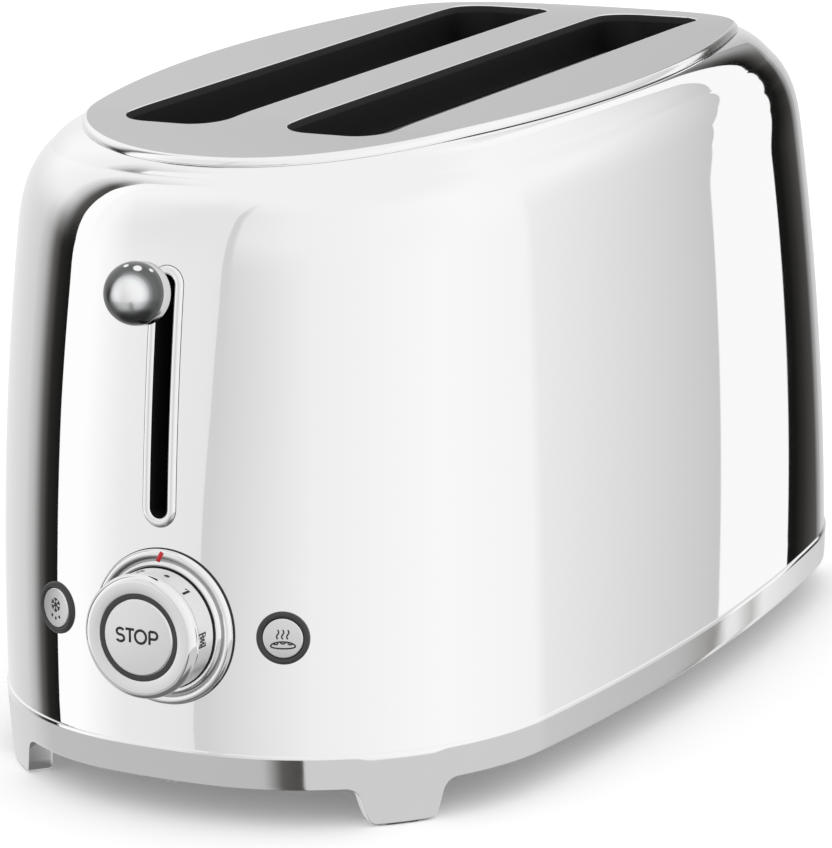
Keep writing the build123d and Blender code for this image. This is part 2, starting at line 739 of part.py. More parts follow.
def chassis_plate(front):
    """End plate of the toasting chamber, with a foot that is screwed to the base."""
    half, top_half = CHASSIS_WIDTH / 2, CHASSIS_TOP_WIDTH / 2
    points = [
        (-half, BASE_TOP), (half, BASE_TOP), (half, CHASSIS_SHOULDER), (top_half, CHASSIS_TOP),
        (-top_half, CHASSIS_TOP), (-half, CHASSIS_SHOULDER),
    ]
    face = make_face(Polyline(*[(x, 0, z) for x, z in points], close=True))
    sign = -1 if front else 1
    plate = Pos(0, sign * CHASSIS_Y, 0) * extrude(face, CHASSIS_T, dir=(0, sign, 0))
    near, far = CHASSIS_Y, CHASSIS_Y + CHASSIS_T + CHASSIS_FOOT
    foot_y = (-far, -near) if front else (near, far)
    plate += box((-half, half), foot_y, (BASE_TOP, BASE_TOP + CHASSIS_T))
    cut_y = (-CHASSIS_Y - CHASSIS_T, -CHASSIS_Y) if front else (CHASSIS_Y, CHASSIS_Y + CHASSIS_T)
    for slot in guide_slots(*cut_y):
        plate -= slot
    half_gap = RACK_T / 2 + RACK_CLEAR
    low = RACK_TOP - RACK_DEPTH - LEVER_TRAVEL - RACK_CLEAR
    for x in (-SLOT_X, SLOT_X):
        plate -= box((x - half_gap, x + half_gap), cut_y, (low, RACK_TOP + RACK_CLEAR))
    for place in chassis_screw_places():
        plate -= tube(place, (BASE_TOP, BASE_TOP + CHASSIS_T), SCREW_R)
    if front:
        width = ROD_X + ROD_R + BEARING_WALL
        plate += box((-width, width), (boss_front(), -CHASSIS_Y), (ROD_BRACKET_Z, ROD_TOP))
        for x in (-ROD_X, ROD_X):
            plate -= tube((x, -ROD_Y), (BASE_TOP, ROD_TOP), ROD_R)
    return plate


def guide_rods():
    """Two rods on which the carriage slides."""
    return group([tube((x, -ROD_Y), (BASE_TOP, ROD_TOP), ROD_R) for x in (-ROD_X, ROD_X)])


def heater_x(side, inner):
    """Plan x of a heating board's middle plane."""
    return side * (SLOT_X - HEATER_GAP if inner else SLOT_X + HEATER_GAP)


def heater_board(side, inner):
    """Mica board that carries a heating ribbon."""
    x = heater_x(side, inner)
    return box((x - HEATER_T / 2, x + HEATER_T / 2), (-CHASSIS_Y, CHASSIS_Y), (HEATER_BOTTOM, HEATER_TOP))


def heater_ribbon(side, inner):
    """Flat heating ribbon, laid to and fro on the board's bread side."""
    face = heater_x(side, inner) + guide_direction(side, inner) * HEATER_T / 2
    x = tuple(sorted((face, face + guide_direction(side, inner) * RIBBON_T)))
    ribbon = None
    for i in range(RIBBON_RUNS):
        z = RIBBON_BOTTOM + i * RIBBON_PITCH
        run = box(x, (-RIBBON_HALF, RIBBON_HALF), (z, z + RIBBON_W))
        ribbon = run if ribbon is None else ribbon + run
        if i < RIBBON_RUNS - 1:
            end = (RIBBON_HALF - RIBBON_W, RIBBON_HALF)
            y = end if i % 2 == 0 else mirrored(end)
            ribbon += box(x, y, (z, z + RIBBON_PITCH + RIBBON_W))
    return ribbon


def reflector(x):
    """Bright sheet that stands between the chassis plates."""
    return box((x - REFLECTOR_T / 2, x + REFLECTOR_T / 2), (-CHASSIS_Y, CHASSIS_Y),
               (REFLECTOR_BOTTOM, REFLECTOR_TOP))


def bread_guide(side, inner):
    """Wire grille: two rails that run in the chassis plates, joined by upright wires."""
    x = guide_x(side, inner)
    length = 2 * (CHASSIS_Y + CHASSIS_T + GUIDE_END_GAP)
    guide = None
    for z in (GUIDE_BOTTOM, GUIDE_TOP):
        rail = Pos(x, 0, z) * Rot(90, 0, 0) * Cylinder(GUIDE_RAIL_R, length)
        guide = rail if guide is None else guide + rail
    for y in spread(GUIDE_WIRE_COUNT, GUIDE_WIRE_PITCH):
        guide += tube((x, y), (GUIDE_BOTTOM, GUIDE_TOP), GUIDE_WIRE_R)
    return guide


def carriage():
    """Sliding block on the two rods, with the cross plate that carries the racks."""
    z = (CARRIAGE_BOTTOM, CARRIAGE_TOP)
    back, face = -CARRIAGE_Y, -CARRIAGE_Y - CARRIAGE_T
    body = box((-CARRIAGE_HALF, CARRIAGE_HALF), (face, back), z)
    front = -ROD_Y - ROD_R - BEARING_WALL
    for x in (-ROD_X, ROD_X):
        bearing_r = ROD_R + BEARING_WALL
        body += tube((x, -ROD_Y), z, bearing_r)
        body += box((x - bearing_r, x + bearing_r), (-ROD_Y, back), z)
    body += box((-BOSS_WIDTH / 2, BOSS_WIDTH / 2), (front, back), z)
    for x in (-ROD_X, ROD_X):
        body -= tube((x, -ROD_Y), z, ROD_R + ROD_FIT)
    return body


def boss_front():
    """Y of the carriage boss's front face."""
    return -ROD_Y - ROD_R - BEARING_WALL


def lever_axis_plane():
    """Plane on the lever's axis where it leaves the shell, normal along the lever, outward."""
    normal = Vector(0, -1, LEVER_SLOPE).normalized()
    origin = (0, -outline_y(0, LEVER_Z), LEVER_Z)
    return Plane(origin=origin, x_dir=(1, 0, 0), z_dir=normal)


def lever_arm():
    """Flat bar from the carriage through the slot to the knob."""
    inner = ROD_Y
    bar = extrude(Rectangle(*LEVER_ARM), KNOB_STANDOFF + inner)
    bar = lever_axis_plane().location * Pos(0, 0, -inner) * bar
    return bar & box((-BODY_WIDTH, BODY_WIDTH), (-BODY_LENGTH, boss_front()), (0, PLATE_Z))


def lever_knob():
    """Round knob: half ball on a short barrel of the same size."""
    barrel = Pos(0, 0, KNOB_STANDOFF) * extrude(Circle(KNOB_BALL_R), KNOB_BARREL)
    ball = Pos(0, 0, KNOB_STANDOFF + KNOB_BARREL) * Sphere(KNOB_BALL_R)
    front = Pos(0, 0, KNOB_STANDOFF) * extrude(Circle(2 * KNOB_BALL_R), 2 * KNOB_BALL_R)
    return lever_axis_plane().location * ((barrel + ball) & front)


def armature():
    """Steel plate under the carriage that the magnet holds when the lever is down."""
    width = BOSS_WIDTH / 2 + ARMATURE_T
    return box((-width, width), (boss_front(), -CARRIAGE_Y), (CARRIAGE_BOTTOM - ARMATURE_T, CARRIAGE_BOTTOM))


def magnet_top():
    """Height of the magnet's core, just under the armature when the lever is down."""
    return CARRIAGE_BOTTOM - ARMATURE_T - LEVER_TRAVEL - MAGNET_GAP


def magnet_y():
    """Plan y of the magnet, under the middle of the armature."""
    return (boss_front() - CARRIAGE_Y) / 2


def electromagnet_core():
    """Iron core that stands on the front chassis foot."""
    return tube((0, magnet_y()), (BASE_TOP + CHASSIS_T, magnet_top()), CORE_R)


def electromagnet_coil():
    """Bobbin and winding around the core."""
    z = (BASE_TOP + CHASSIS_T, magnet_top() - MAGNET_GAP)
    return tube((0, magnet_y()), z, COIL_R, CORE_R)


def bread_rack(side):
    """Sheet rack with saddles that lift the bread."""
    x = side * SLOT_X
    low = RACK_TOP - RACK_DEPTH
    rack = box((x - RACK_T / 2, x + RACK_T / 2), (-CARRIAGE_Y, RACK_END), (low, RACK_TOP))
    for y in spread(FINGER_COUNT, FINGER_PITCH):
        half = FINGER_WIDTH / 2
        z = (low + FINGER_RISE, RACK_TOP)
        rack += box((x - half, x + half), (y - RACK_T / 2, y + RACK_T / 2), z)
    return rack


def lift_springs():
    """Compression springs around the rods, between the chassis foot and the carriage."""
    low = BASE_TOP + CHASSIS_T + SPRING_SEAT + SPRING_WIRE / 2
    height = CARRIAGE_BOTTOM - SPRING_SEAT - SPRING_WIRE / 2 - low
    pitch = height / SPRING_TURNS
    path = Helix(pitch, height, SPRING_MEAN_R)
    start = Plane(origin=path @ 0, z_dir=path % 0)
    coil = sweep(start * Circle(SPRING_WIRE / 2), path=path, is_frenet=True)
    return group([Pos(x, -ROD_Y, low) * coil for x in (-ROD_X, ROD_X)])


def power_switch():
    """Switch that the carriage closes at the bottom of its travel."""
    centre = CARRIAGE_HALF - SWITCH_WIDTH
    top = CARRIAGE_BOTTOM - LEVER_TRAVEL - MAGNET_GAP
    body_z = (BASE_TOP + CHASSIS_T, top - SWITCH_PLUNGER)
    y_mid = -CARRIAGE_Y - CARRIAGE_T / 2
    half_w, half_d = SWITCH_WIDTH / 2, SWITCH_DEPTH / 2
    body = box((centre - half_w, centre + half_w), (y_mid - half_d, y_mid + half_d), body_z)
    half_w, half_d = SWITCH_WIDTH / 4, CARRIAGE_T / 2
    plunger = box((centre - half_w, centre + half_w), (y_mid - half_d, y_mid + half_d), (body_z[1], top))
    return body + plunger


def control_board():
    """Circuit board behind the dial and buttons."""
    return box((-BOARD_HALF, BOARD_HALF), (-BOARD_Y, -BOARD_Y + BOARD_T), (BOARD_BOTTOM, BOARD_TOP))


def board_standoffs():
    """Posts that carry the board from the front chassis plate."""
    length = BOARD_Y - BOARD_T - CHASSIS_Y - CHASSIS_T
    posts = []
    for sx in (-1, 1):
        for z in (BOARD_BOTTOM + STANDOFF_MARGIN, BOARD_TOP - STANDOFF_MARGIN):
            post = Pos(sx * (BOARD_HALF - STANDOFF_MARGIN), -(CHASSIS_Y + CHASSIS_T + length / 2), z)
            posts.append(post * Rot(90, 0, 0) * Cylinder(STANDOFF_R, length))
    return group(posts)


def before_board():
    """The space in front of the control board."""
    return box((-BODY_WIDTH, BODY_WIDTH), (-BODY_LENGTH, -BOARD_Y), (0, PLATE_Z))


def bezel_points():
    """Turned profile of the dial's bezel, from inside the shell's surface outward."""
    inner = DIAL_R + DIAL_GAP
    return [
        (BEZEL_BORE_R, -BEZEL_ROOT), (BEZEL_R, -BEZEL_ROOT), (BEZEL_R, BEZEL_EDGE),
        (BEZEL_STEP_R, BEZEL_STEP), (inner + BEZEL_LIP, BEZEL_HEIGHT), (inner, BEZEL_HEIGHT),
        (inner, BEZEL_FLOOR), (BEZEL_BORE_R, BEZEL_FLOOR),
    ]


def dial_bezel():
    """Fixed ring that the dial turns in."""
    return turned(DIAL_PLANE, bezel_points()) - SHELL_SOLID


def pointer_mark():
    """Red mark inlaid on the top of the bezel."""
    raised = turned(DIAL_PLANE, [(r, h + MARK_T) for r, h in bezel_points()])
    low, high = DIAL_R + DIAL_GAP, BEZEL_R - MARK_INSET
    strip = Pos(0, (low + high) / 2, 0) * Box(MARK_WIDTH, high - low, 3 * BEZEL_HEIGHT)
    return (raised & (DIAL_PLANE.location * strip)) - turned(DIAL_PLANE, bezel_points()) - SHELL_SOLID


def dial_knob():
    """Turning knob: skirt and face ring around the stop button."""
    floor_low, floor_high = DIAL_FLOOR
    skirt_low = BEZEL_FLOOR + DIAL_GAP
    skirt_r = DIAL_R - DIAL_WALL
    edge = DIAL_ROUND
    half_edge = edge * (1 - math.cos(math.radians(45)))
    return turned(DIAL_PLANE, [
        (DIAL_SHAFT_R, floor_low), (skirt_r, floor_low), (skirt_r, skirt_low), (DIAL_R, skirt_low),
        (DIAL_R, DIAL_REACH - edge), (DIAL_R - half_edge, DIAL_REACH - half_edge),
        (DIAL_R - edge, DIAL_REACH), (RING_R, DIAL_REACH), (RING_R, floor_high),
        (DIAL_SHAFT_R, floor_high),
    ])


def dial_shaft():
    """Hollow shaft from the knob into the control."""
    return turned(DIAL_PLANE, [
        (DIAL_SHAFT_BORE, -SHAFT_DEPTH), (DIAL_SHAFT_R, -SHAFT_DEPTH),
        (DIAL_SHAFT_R, DIAL_FLOOR[1]), (DIAL_SHAFT_BORE, DIAL_FLOOR[1]),
    ])


def stop_ring():
    """Black ring around the stop button, fixed in the knob."""
    inner = STOP_R + STOP_GAP
    return turned(DIAL_PLANE, [
        (inner, DIAL_FLOOR[1]), (RING_R, DIAL_FLOOR[1]),
        (RING_R, DIAL_REACH - STOP_PROUD), (inner, DIAL_REACH - STOP_PROUD),
    ])


def stop_button():
    """Push cap in the middle of the dial, with its stem."""
    low = DIAL_FLOOR[1] + STOP_TRAVEL + DIAL_GAP
    top = DIAL_REACH + STOP_PROUD
    return turned(DIAL_PLANE, [
        (0, -STEM_DEPTH), (STOP_STEM_R, -STEM_DEPTH), (STOP_STEM_R, low), (STOP_R, low),
        (STOP_R, top - CAP_EDGE), (STOP_R - CAP_EDGE, top), (0, top),
    ])


def dial_potentiometer():
    """Control that the dial's shaft turns, on the front of the board."""
    back = -POT_FRONT - POT_SIZE
    block = DIAL_PLANE.location * Pos(0, 0, back) * extrude(Rectangle(POT_SIZE, POT_SIZE), POT_SIZE)
    shaft_end = -SHAFT_DEPTH - DIAL_GAP
    stem_end = -STEM_DEPTH - STOP_TRAVEL - DIAL_GAP
    bore_r = DIAL_SHAFT_R + ROD_FIT
    block -= turned(DIAL_PLANE, [
        (0, stem_end), (DIAL_SHAFT_BORE, stem_end), (DIAL_SHAFT_BORE, shaft_end),
        (bore_r, shaft_end), (bore_r, 0), (0, 0),
    ])
    return block & before_board()


def button_ring(plane):
    """Dark ring with a sleeve through the shell that guides a push button."""
    inner, bore = BUTTON_R + BUTTON_GAP, BUTTON_STEM_R + BUTTON_GAP
    root, floor = -BUTTON_RING_R / 2, -SLEEVE_DEPTH + SLEEVE_FLOOR
    shoulder = BUTTON_RING_PROUD - RING_EDGE
    ring = turned(plane, [
        (bore, -SLEEVE_DEPTH), (SLEEVE_R, -SLEEVE_DEPTH), (SLEEVE_R, root), (BUTTON_RING_R, root),
        (BUTTON_RING_R, shoulder), (BUTTON_RING_R - RING_EDGE, BUTTON_RING_PROUD),
        (inner + RING_EDGE, BUTTON_RING_PROUD), (inner, shoulder), (inner, floor), (bore, floor),
    ])
    return ring - (SHELL_SOLID - plane.location * Cylinder(SLEEVE_R, 4 * SLEEVE_R))


def push_button(plane):
    """Push cap with its stem."""
    low = -SLEEVE_DEPTH + SLEEVE_FLOOR + BUTTON_TRAVEL + BUTTON_GAP
    return turned(plane, [
        (0, -BUTTON_STEM_DEPTH), (BUTTON_STEM_R, -BUTTON_STEM_DEPTH), (BUTTON_STEM_R, low),
        (BUTTON_R, low), (BUTTON_R, BUTTON_PROUD - CAP_EDGE),
        (BUTTON_R - CAP_EDGE, BUTTON_PROUD), (0, BUTTON_PROUD),
    ])


def button_switches():
    """Two small switches on the board, each behind its button's stem."""
    top = -BUTTON_STEM_DEPTH - BUTTON_TRAVEL - BUTTON_GAP
    deep = 4 * SWITCH_R
    blocks = []
    for plane in (DEFROST_PLANE, REHEAT_PLANE):
        block = plane.location * Pos(0, 0, top - deep) * extrude(Circle(SWITCH_R), deep)
        blocks.append(block & before_board())
    return group(blocks)


def terminal_block():
    """Mains terminals on the base plate."""
    x, y = TERMINAL_AT
    wide, long, tall = TERMINAL_BOX
    block = box((x - wide / 2, x + wide / 2), (y - long / 2, y + long / 2), (BASE_TOP, BASE_TOP + tall))
    return chamfer(block.edges().group_by(Axis.Z)[-1], TERMINAL_CHAMFER)


def cord_gland():
    """Bush in the base plate where the mains lead would come in."""
    z = (BASE_Z - GLAND_DROP, BASE_TOP + GLAND_RISE)
    bush = tube(GLAND_AT, z, GLAND_R, GLAND_BORE)
    for low in (BASE_Z - GLAND_FLANGE, BASE_TOP):
        bush += tube(GLAND_AT, (low, low + GLAND_FLANGE), GLAND_R + GLAND_FLANGE, GLAND_BORE)
    return bush


def bus_insulators():
    """Mica strips on the rear chassis plate, one under each bus bar."""
    y = (CHASSIS_Y + CHASSIS_T, CHASSIS_Y + CHASSIS_T + INSULATOR_T)
    half, tall = BUS_HALF + INSULATOR_MARGIN, BUS_HEIGHT / 2 + INSULATOR_MARGIN
    return group([box((-half, half), y, (z - tall, z + tall)) for z in BUS_Z])


def bus_bars():
    """Strips that feed the heating boards."""
    near, half = CHASSIS_Y + CHASSIS_T + INSULATOR_T, BUS_HEIGHT / 2
    y = (near, near + BUS_T)
    return group([box((-BUS_HALF, BUS_HALF), y, (z - half, z + half)) for z in BUS_Z])


def lead_wires():
    """Insulated leads from the terminal block to the bus bars."""
    y_bar = LEAD_START_Y
    y_block = TERMINAL_AT[1] + TERMINAL_BOX[1] / 2
    leads = []
    for z_bar, x_off, leg in zip(BUS_Z, (LEAD_SPREAD, -LEAD_SPREAD), LEAD_LEGS):
        x_start, z_start = TERMINAL_AT[0] + x_off, BASE_TOP + TERMINAL_BOX[2] / 2
        x_bar, y_run = -BUS_HALF + BUS_HEIGHT / 2, y_bar + leg
        points = [(x_start, y_block, z_start), (x_start, y_run, z_start)]
        if abs(z_bar - z_start) > 2 * LEAD_BEND:
            points.append((x_start, y_run, z_bar))
        points += [(x_bar, y_run, z_bar), (x_bar, y_bar, z_bar)]
        path = FilletPolyline(*points, radius=LEAD_BEND)
        start = Plane(origin=path @ 0, z_dir=path % 0)
        leads.append(sweep(start * Circle(LEAD_R), path=path))
    return group(leads)


def base_screws():
    """Screws that hold the base plate to the band's ledge."""
    screws = []
    for place in base_screw_places():
        shank = tube(place, (BAND_BOTTOM, BASE_TOP), SCREW_R)
        screws.append(shank + tube(place, (BAND_BOTTOM - SCREW_HEAD_T, BAND_BOTTOM), SCREW_HEAD_R))
    return group(screws)


def chassis_screws():
    """Screws that hold the chassis feet to the base plate."""
    top = BASE_TOP + CHASSIS_T
    screws = []
    for place in chassis_screw_places():
        shank = tube(place, (BASE_Z, top), SCREW_R)
        screws.append(shank + tube(place, (top, top + SCREW_HEAD_T), SCREW_HEAD_R))
    return group(screws)


def all_parts():
    """Every sub-part under its node name."""
    parts = {
        "body_shell": body_shell(),
        "top_plate": top_plate(),
        "base_band": base_band(),
        "foot_pads": foot_pads(),
        "base_plate": base_plate(),
        "tray_rails": tray_rails(),
        "crumb_tray": crumb_tray(),
        "crumb_tray_handle": crumb_tray_handle(),
        "cord_gland": cord_gland(),
        "lever_slot_trim": lever_slot_trim(),
        "dial_bezel": dial_bezel(),
        "pointer_mark": pointer_mark(),
        "dial_knob": dial_knob(),
        "dial_shaft": dial_shaft(),
        "stop_ring": stop_ring(),
        "stop_button": stop_button(),
        "defrost_ring": button_ring(DEFROST_PLANE),
        "defrost_button": push_button(DEFROST_PLANE),
        "reheat_ring": button_ring(REHEAT_PLANE),
        "reheat_button": push_button(REHEAT_PLANE),
        "lever_knob": lever_knob(),
        "lever_arm": lever_arm(),
        "carriage": carriage(),
        "armature": armature(),
        "guide_rods": guide_rods(),
        "lift_springs": lift_springs(),
        "chassis_front": chassis_plate(True),
        "chassis_rear": chassis_plate(False),
        "outer_reflectors": group([reflector(-REFLECTOR_OUT), reflector(REFLECTOR_OUT)]),
        "centre_reflector": reflector(0.0),
        "control_board": control_board(),
        "board_standoffs": board_standoffs(),
        "dial_potentiometer": dial_potentiometer(),
        "button_switches": button_switches(),
        "electromagnet_core": electromagnet_core(),
        "electromagnet_coil": electromagnet_coil(),
        "power_switch": power_switch(),
        "terminal_block": terminal_block(),
        "bus_insulators": bus_insulators(),
        "bus_bars": bus_bars(),
        "lead_wires": lead_wires(),
        "base_screws": base_screws(),
        "chassis_screws": chassis_screws(),
    }
    for side, side_name in ((-1, "left"), (1, "right")):
        parts[f"slot_liner_{side_name}"] = slot_liner(side * SLOT_X)
        parts[f"bread_rack_{side_name}"] = bread_rack(side)
        for inner, place in ((False, "outer"), (True, "inner")):
            parts[f"heater_board_{side_name}_{place}"] = heater_board(side, inner)
            parts[f"heater_ribbon_{side_name}_{place}"] = heater_ribbon(side, inner)
            parts[f"bread_guide_{side_name}_{place}"] = bread_guide(side, inner)
    return parts


def front_reach():
    """How far the foremost knob stands in front of the middle of the plan."""
    lever = lever_axis_plane()
    ball = lever.origin + lever.z_dir * (KNOB_STANDOFF + KNOB_BARREL)
    return KNOB_BALL_R - ball.Y


# The finished part's origin is the middle of its whole outline on the floor,
# so the plan is moved back by half of what the knobs add at the front.
Y_SHIFT = (front_reach() - BODY_LENGTH / 2) / 2

PARTS = all_parts()
os.makedirs("parts", exist_ok=True)
for node, shape in PARTS.items():
    export_step(Pos(0, Y_SHIFT, 0) * shape, f"parts/{node}.step")
print(len(PARTS), "nodes, shift along Y", round(Y_SHIFT, 3))
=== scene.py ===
import bmesh
import bpy
import functools
import json
import math
from mathutils import Matrix, Vector


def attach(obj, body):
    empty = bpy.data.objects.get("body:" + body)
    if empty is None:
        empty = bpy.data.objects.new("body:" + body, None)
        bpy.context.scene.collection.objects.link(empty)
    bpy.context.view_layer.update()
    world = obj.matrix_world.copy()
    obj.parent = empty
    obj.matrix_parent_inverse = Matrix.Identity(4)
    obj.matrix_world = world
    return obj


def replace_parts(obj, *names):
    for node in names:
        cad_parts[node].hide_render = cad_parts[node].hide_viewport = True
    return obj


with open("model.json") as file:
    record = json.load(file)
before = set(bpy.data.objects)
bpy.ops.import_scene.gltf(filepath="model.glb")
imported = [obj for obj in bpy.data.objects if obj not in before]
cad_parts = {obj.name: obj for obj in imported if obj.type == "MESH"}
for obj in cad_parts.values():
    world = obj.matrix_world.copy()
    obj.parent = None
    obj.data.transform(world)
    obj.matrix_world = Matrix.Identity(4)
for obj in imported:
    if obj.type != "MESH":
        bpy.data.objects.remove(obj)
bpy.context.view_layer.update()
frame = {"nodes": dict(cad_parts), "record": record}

MM = 0.001
SHIFT = 7.8045658693302045

# Body outline: half width, half length, then side, end and corner arc radii, in millimetres
BAND = (105.5, 190.0, 855.0, 243.0, 89.4)
BAND_BOTTOM, BAND_TOP, BAND_WALL, BAND_LEAN, BAND_LIP = 13.0, 24.5, 3.0, 0.05, 0.3
LEDGE_REACH, LEDGE_TOP = 8.0, 15.5
FOOT_ANGLE, FOOT_DEPTH, FOOT_Z, FOOT_REACH = math.radians(45.0), 10.0, 0.5, 20.0
FOOT_HALF, KNEE, KNEE_Z, FOOT_ROOT = 10.8, 12.3, 4.8, 14.9
RIM_Z, SHOULDER_Z, PLATE_Z = 210.0, 182.0, 212.7
SHOULDER_DROP, SHOULDER_SWEEP = 28.0, 0.97
SHELL_INSET = 0.5
BOWS = ((2000.0, 19.3), (810.0, 25.5))
TOP_ARCS = (405.0, 500.0, 60.0)
PLATE = (83.0, 158.5, 405.0, 500.0, 68.0)
PLATE_FLAT, PLATE_END, PLATE_END_DROP, PLATE_T = 100.0, 158.5, 4.5, 2.7
SLOT_X, SLOT_HALF_W, SLOT_HALF_L, SLOT_R = 30.0, 19.0, 126.0, 12.0
SOFTEN = 8.0


def corner_centre(outline):
    """Centre of the corner arc that is tangent to the side arc and to the end arc."""
    half_w, half_l, side_r, end_r, corner_r = outline
    side_x, end_y = half_w - side_r, half_l - end_r
    to_side, to_end = side_r - corner_r, end_r - corner_r
    gap = math.hypot(side_x, end_y)
    along = (to_side**2 - to_end**2 + gap**2) / (2 * gap)
    off = math.sqrt(to_side**2 - along**2)
    ux, uy = -side_x / gap, end_y / gap
    return side_x + along * ux - off * uy, along * uy + off * ux


def grown(outline, by):
    """The same outline, moved outward by a constant distance."""
    return tuple(value + by for value in outline)


def arc_angles(outline):
    """Angles at which the side arc and the corner arc end."""
    half_w, half_l, side_r, end_r, _ = outline
    cx, cy = corner_centre(outline)
    return math.atan2(cy, cx - half_w + side_r), math.atan2(cy - half_l + end_r, cx)


def outline_point(outline, t):
    """Point of the first quarter of the outline where its normal has angle t."""
    half_w, half_l, side_r, end_r, corner_r = outline
    low, high = arc_angles(outline)
    if t <= low:
        return half_w - side_r + side_r * math.cos(t), side_r * math.sin(t)
    if t < high:
        cx, cy = corner_centre(outline)
        return cx + corner_r * math.cos(t), cy + corner_r * math.sin(t)
    return end_r * math.cos(t), half_l - end_r + end_r * math.sin(t)


def quarter_steps(counts):
    """Fractions along the side, corner and end arcs of a quarter."""
    return [(arc, i / n) for arc, n in enumerate(counts) for i in range(n)] + [(2, 1.0)]


def outline_loop(outline, counts=(24, 64, 24)):
    """Closed list of (x, y) points around the outline."""
    low, high = arc_angles(outline)
    ends = ((0.0, low), (low, high), (high, math.pi / 2))
    turn = [ends[arc][0] + (ends[arc][1] - ends[arc][0]) * f for arc, f in quarter_steps(counts)]
    quarter = [outline_point(outline, t) for t in turn]
    points = list(quarter)
    points += [(-x, y) for x, y in reversed(quarter[:-1])]
    points += [(-x, -y) for x, y in quarter[1:]]
    points += [(x, -y) for x, y in reversed(quarter[1:-1])]
    return points


def outside_by(outline, x, y):
    """Signed distance of a point from the outline, and the direction of the nearest normal."""
    half_w, half_l, side_r, end_r, corner_r = outline
    px, py = abs(x), abs(y)
    cx, cy = corner_centre(outline)
    low, high = arc_angles(outline)
    t = math.atan2(py - cy, px - cx)
    if low <= t <= high:
        centre, radius = (cx, cy), corner_r
    elif t < low or (px > cx and py < cy):
        centre, radius = (half_w - side_r, 0.0), side_r
    else:
        centre, radius = (0.0, half_l - end_r), end_r
    dx, dy = px - centre[0], py - centre[1]
    far = math.hypot(dx, dy)
    sx, sy = math.copysign(1, x), math.copysign(1, y)
    return far - radius, (sx * dx / far, sy * dy / far)


def plain_insets(z):
    """How far the shell's side and its end stand in from the band at height z."""
    low_rise = min(max(z - BAND_TOP, 0.0), SHOULDER_Z - BAND_TOP)
    insets = []
    for bow_r, reach in BOWS:
        inset = SHELL_INSET + low_rise**2 / (2 * bow_r)
        if z > SHOULDER_Z:
            up = (z - SHOULDER_Z) / SHOULDER_DROP * SHOULDER_SWEEP
            inset += (z - SHOULDER_Z) * low_rise / bow_r + reach * (1 - math.sqrt(1 - up**2))
        insets.append(inset)
    return insets


@functools.lru_cache(maxsize=None)
def shell_insets(z):
    """The insets at height z, softened where the bow turns into the shoulder."""
    reach = max(min(SOFTEN, RIM_Z - z, z - BAND_TOP), 0.0)
    around = [plain_insets(z + reach * step / 6) for step in range(-6, 7)]
    return [sum(values) / len(values) for values in zip(*around)]


TOP_INSET = shell_insets(RIM_Z)[0]


@functools.lru_cache(maxsize=None)
def shell_outline(z):
    """The shell's oval at height z."""
    side_in, end_in = shell_insets(z)
    blend = (side_in - SHELL_INSET) / (TOP_INSET - SHELL_INSET)
    arcs = [low + (high - low) * blend for low, high in zip(BAND[2:], TOP_ARCS)]
    return (BAND[0] - side_in, BAND[1] - end_in, *arcs)


def shell_normal(x, y, z):
    """Unit normal of the shell at a point of its surface."""
    step = 0.05
    z = round(min(max(z, BAND_TOP + step), RIM_Z - step), 2)
    _, (nx, ny) = outside_by(shell_outline(z), x, y)
    up = outside_by(shell_outline(z + step), x, y)[0]
    down = outside_by(shell_outline(z - step), x, y)[0]
    return Vector((nx, ny, (up - down) / (2 * step))).normalized()


def front_y(x, z):
    """Y of the shell's front surface at x and z, before the shift."""
    outline = shell_outline(z)
    half_w, half_l, side_r, end_r, corner_r = outline
    cx, cy = corner_centre(outline)
    meet_x = end_r * cx / math.hypot(cx, cy - half_l + end_r)
    if abs(x) < meet_x:
        return -(half_l - end_r + math.sqrt(end_r**2 - x**2))
    return -(cy + math.sqrt(corner_r**2 - (abs(x) - cx) ** 2))


def plate_top(y):
    """Height of the plate's upper surface at y."""
    over = max(abs(y) - PLATE_FLAT, 0.0)
    roll_r = ((PLATE_END - PLATE_FLAT) ** 2 + PLATE_END_DROP**2) / (2 * PLATE_END_DROP)
    return PLATE_Z - (roll_r - math.sqrt(roll_r**2 - over**2))


def place(x, y, z):
    """Packed-frame point in metres from a plan point in millimetres."""
    return Vector((x * MM, (y + SHIFT) * MM, z * MM))


class Front:
    """Plane that touches the shell's front at x and z: across, up and out directions."""

    def __init__(self, x, z):
        y = front_y(x, z)
        self.origin = Vector((x, y, z))
        self.out = shell_normal(x, y, z)
        self.across = Vector((0, 0, 1)).cross(self.out).normalized()
        self.up = self.out.cross(self.across)

    def at(self, a, b, h):
        """Packed-frame point at a across, b up and h out, in metres."""
        p = self.origin + self.across * a + self.up * b + self.out * h
        return place(*p)


DIAL = Front(2.0, 63.9)
DEFROST = Front(-41.3, 63.2)
REHEAT = Front(41.3, 63.2)


class Lever:
    """Plane across the lever's axis where it leaves the shell."""

    out = Vector((0, -1, math.tan(math.radians(12.0)))).normalized()
    across = Vector((1, 0, 0))
    up = out.cross(across)
    origin = Vector((0, front_y(0.0, 168.4), 168.4))

    @classmethod
    def at(cls, a, b, h):
        """Packed-frame point at a across, b up and h out, in metres."""
        return place(*(cls.origin + cls.across * a + cls.up * b + cls.out * h))


def make(name, verts, faces, materials, body, smooth=True, indices=None):
    """New mesh piece that rides on a body."""
    mesh = bpy.data.meshes.new(name)
    mesh.from_pydata([tuple(v) for v in verts], [], faces)
    mesh.update()
    piece = bpy.data.objects.new(name, mesh)
    bpy.context.scene.collection.objects.link(piece)
    for material in materials:
        mesh.materials.append(material)
    if indices:
        mesh.polygons.foreach_set("material_index", indices)
    mesh.polygons.foreach_set("use_smooth", [smooth] * len(mesh.polygons))
    if body:
        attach(piece, body)
    return piece


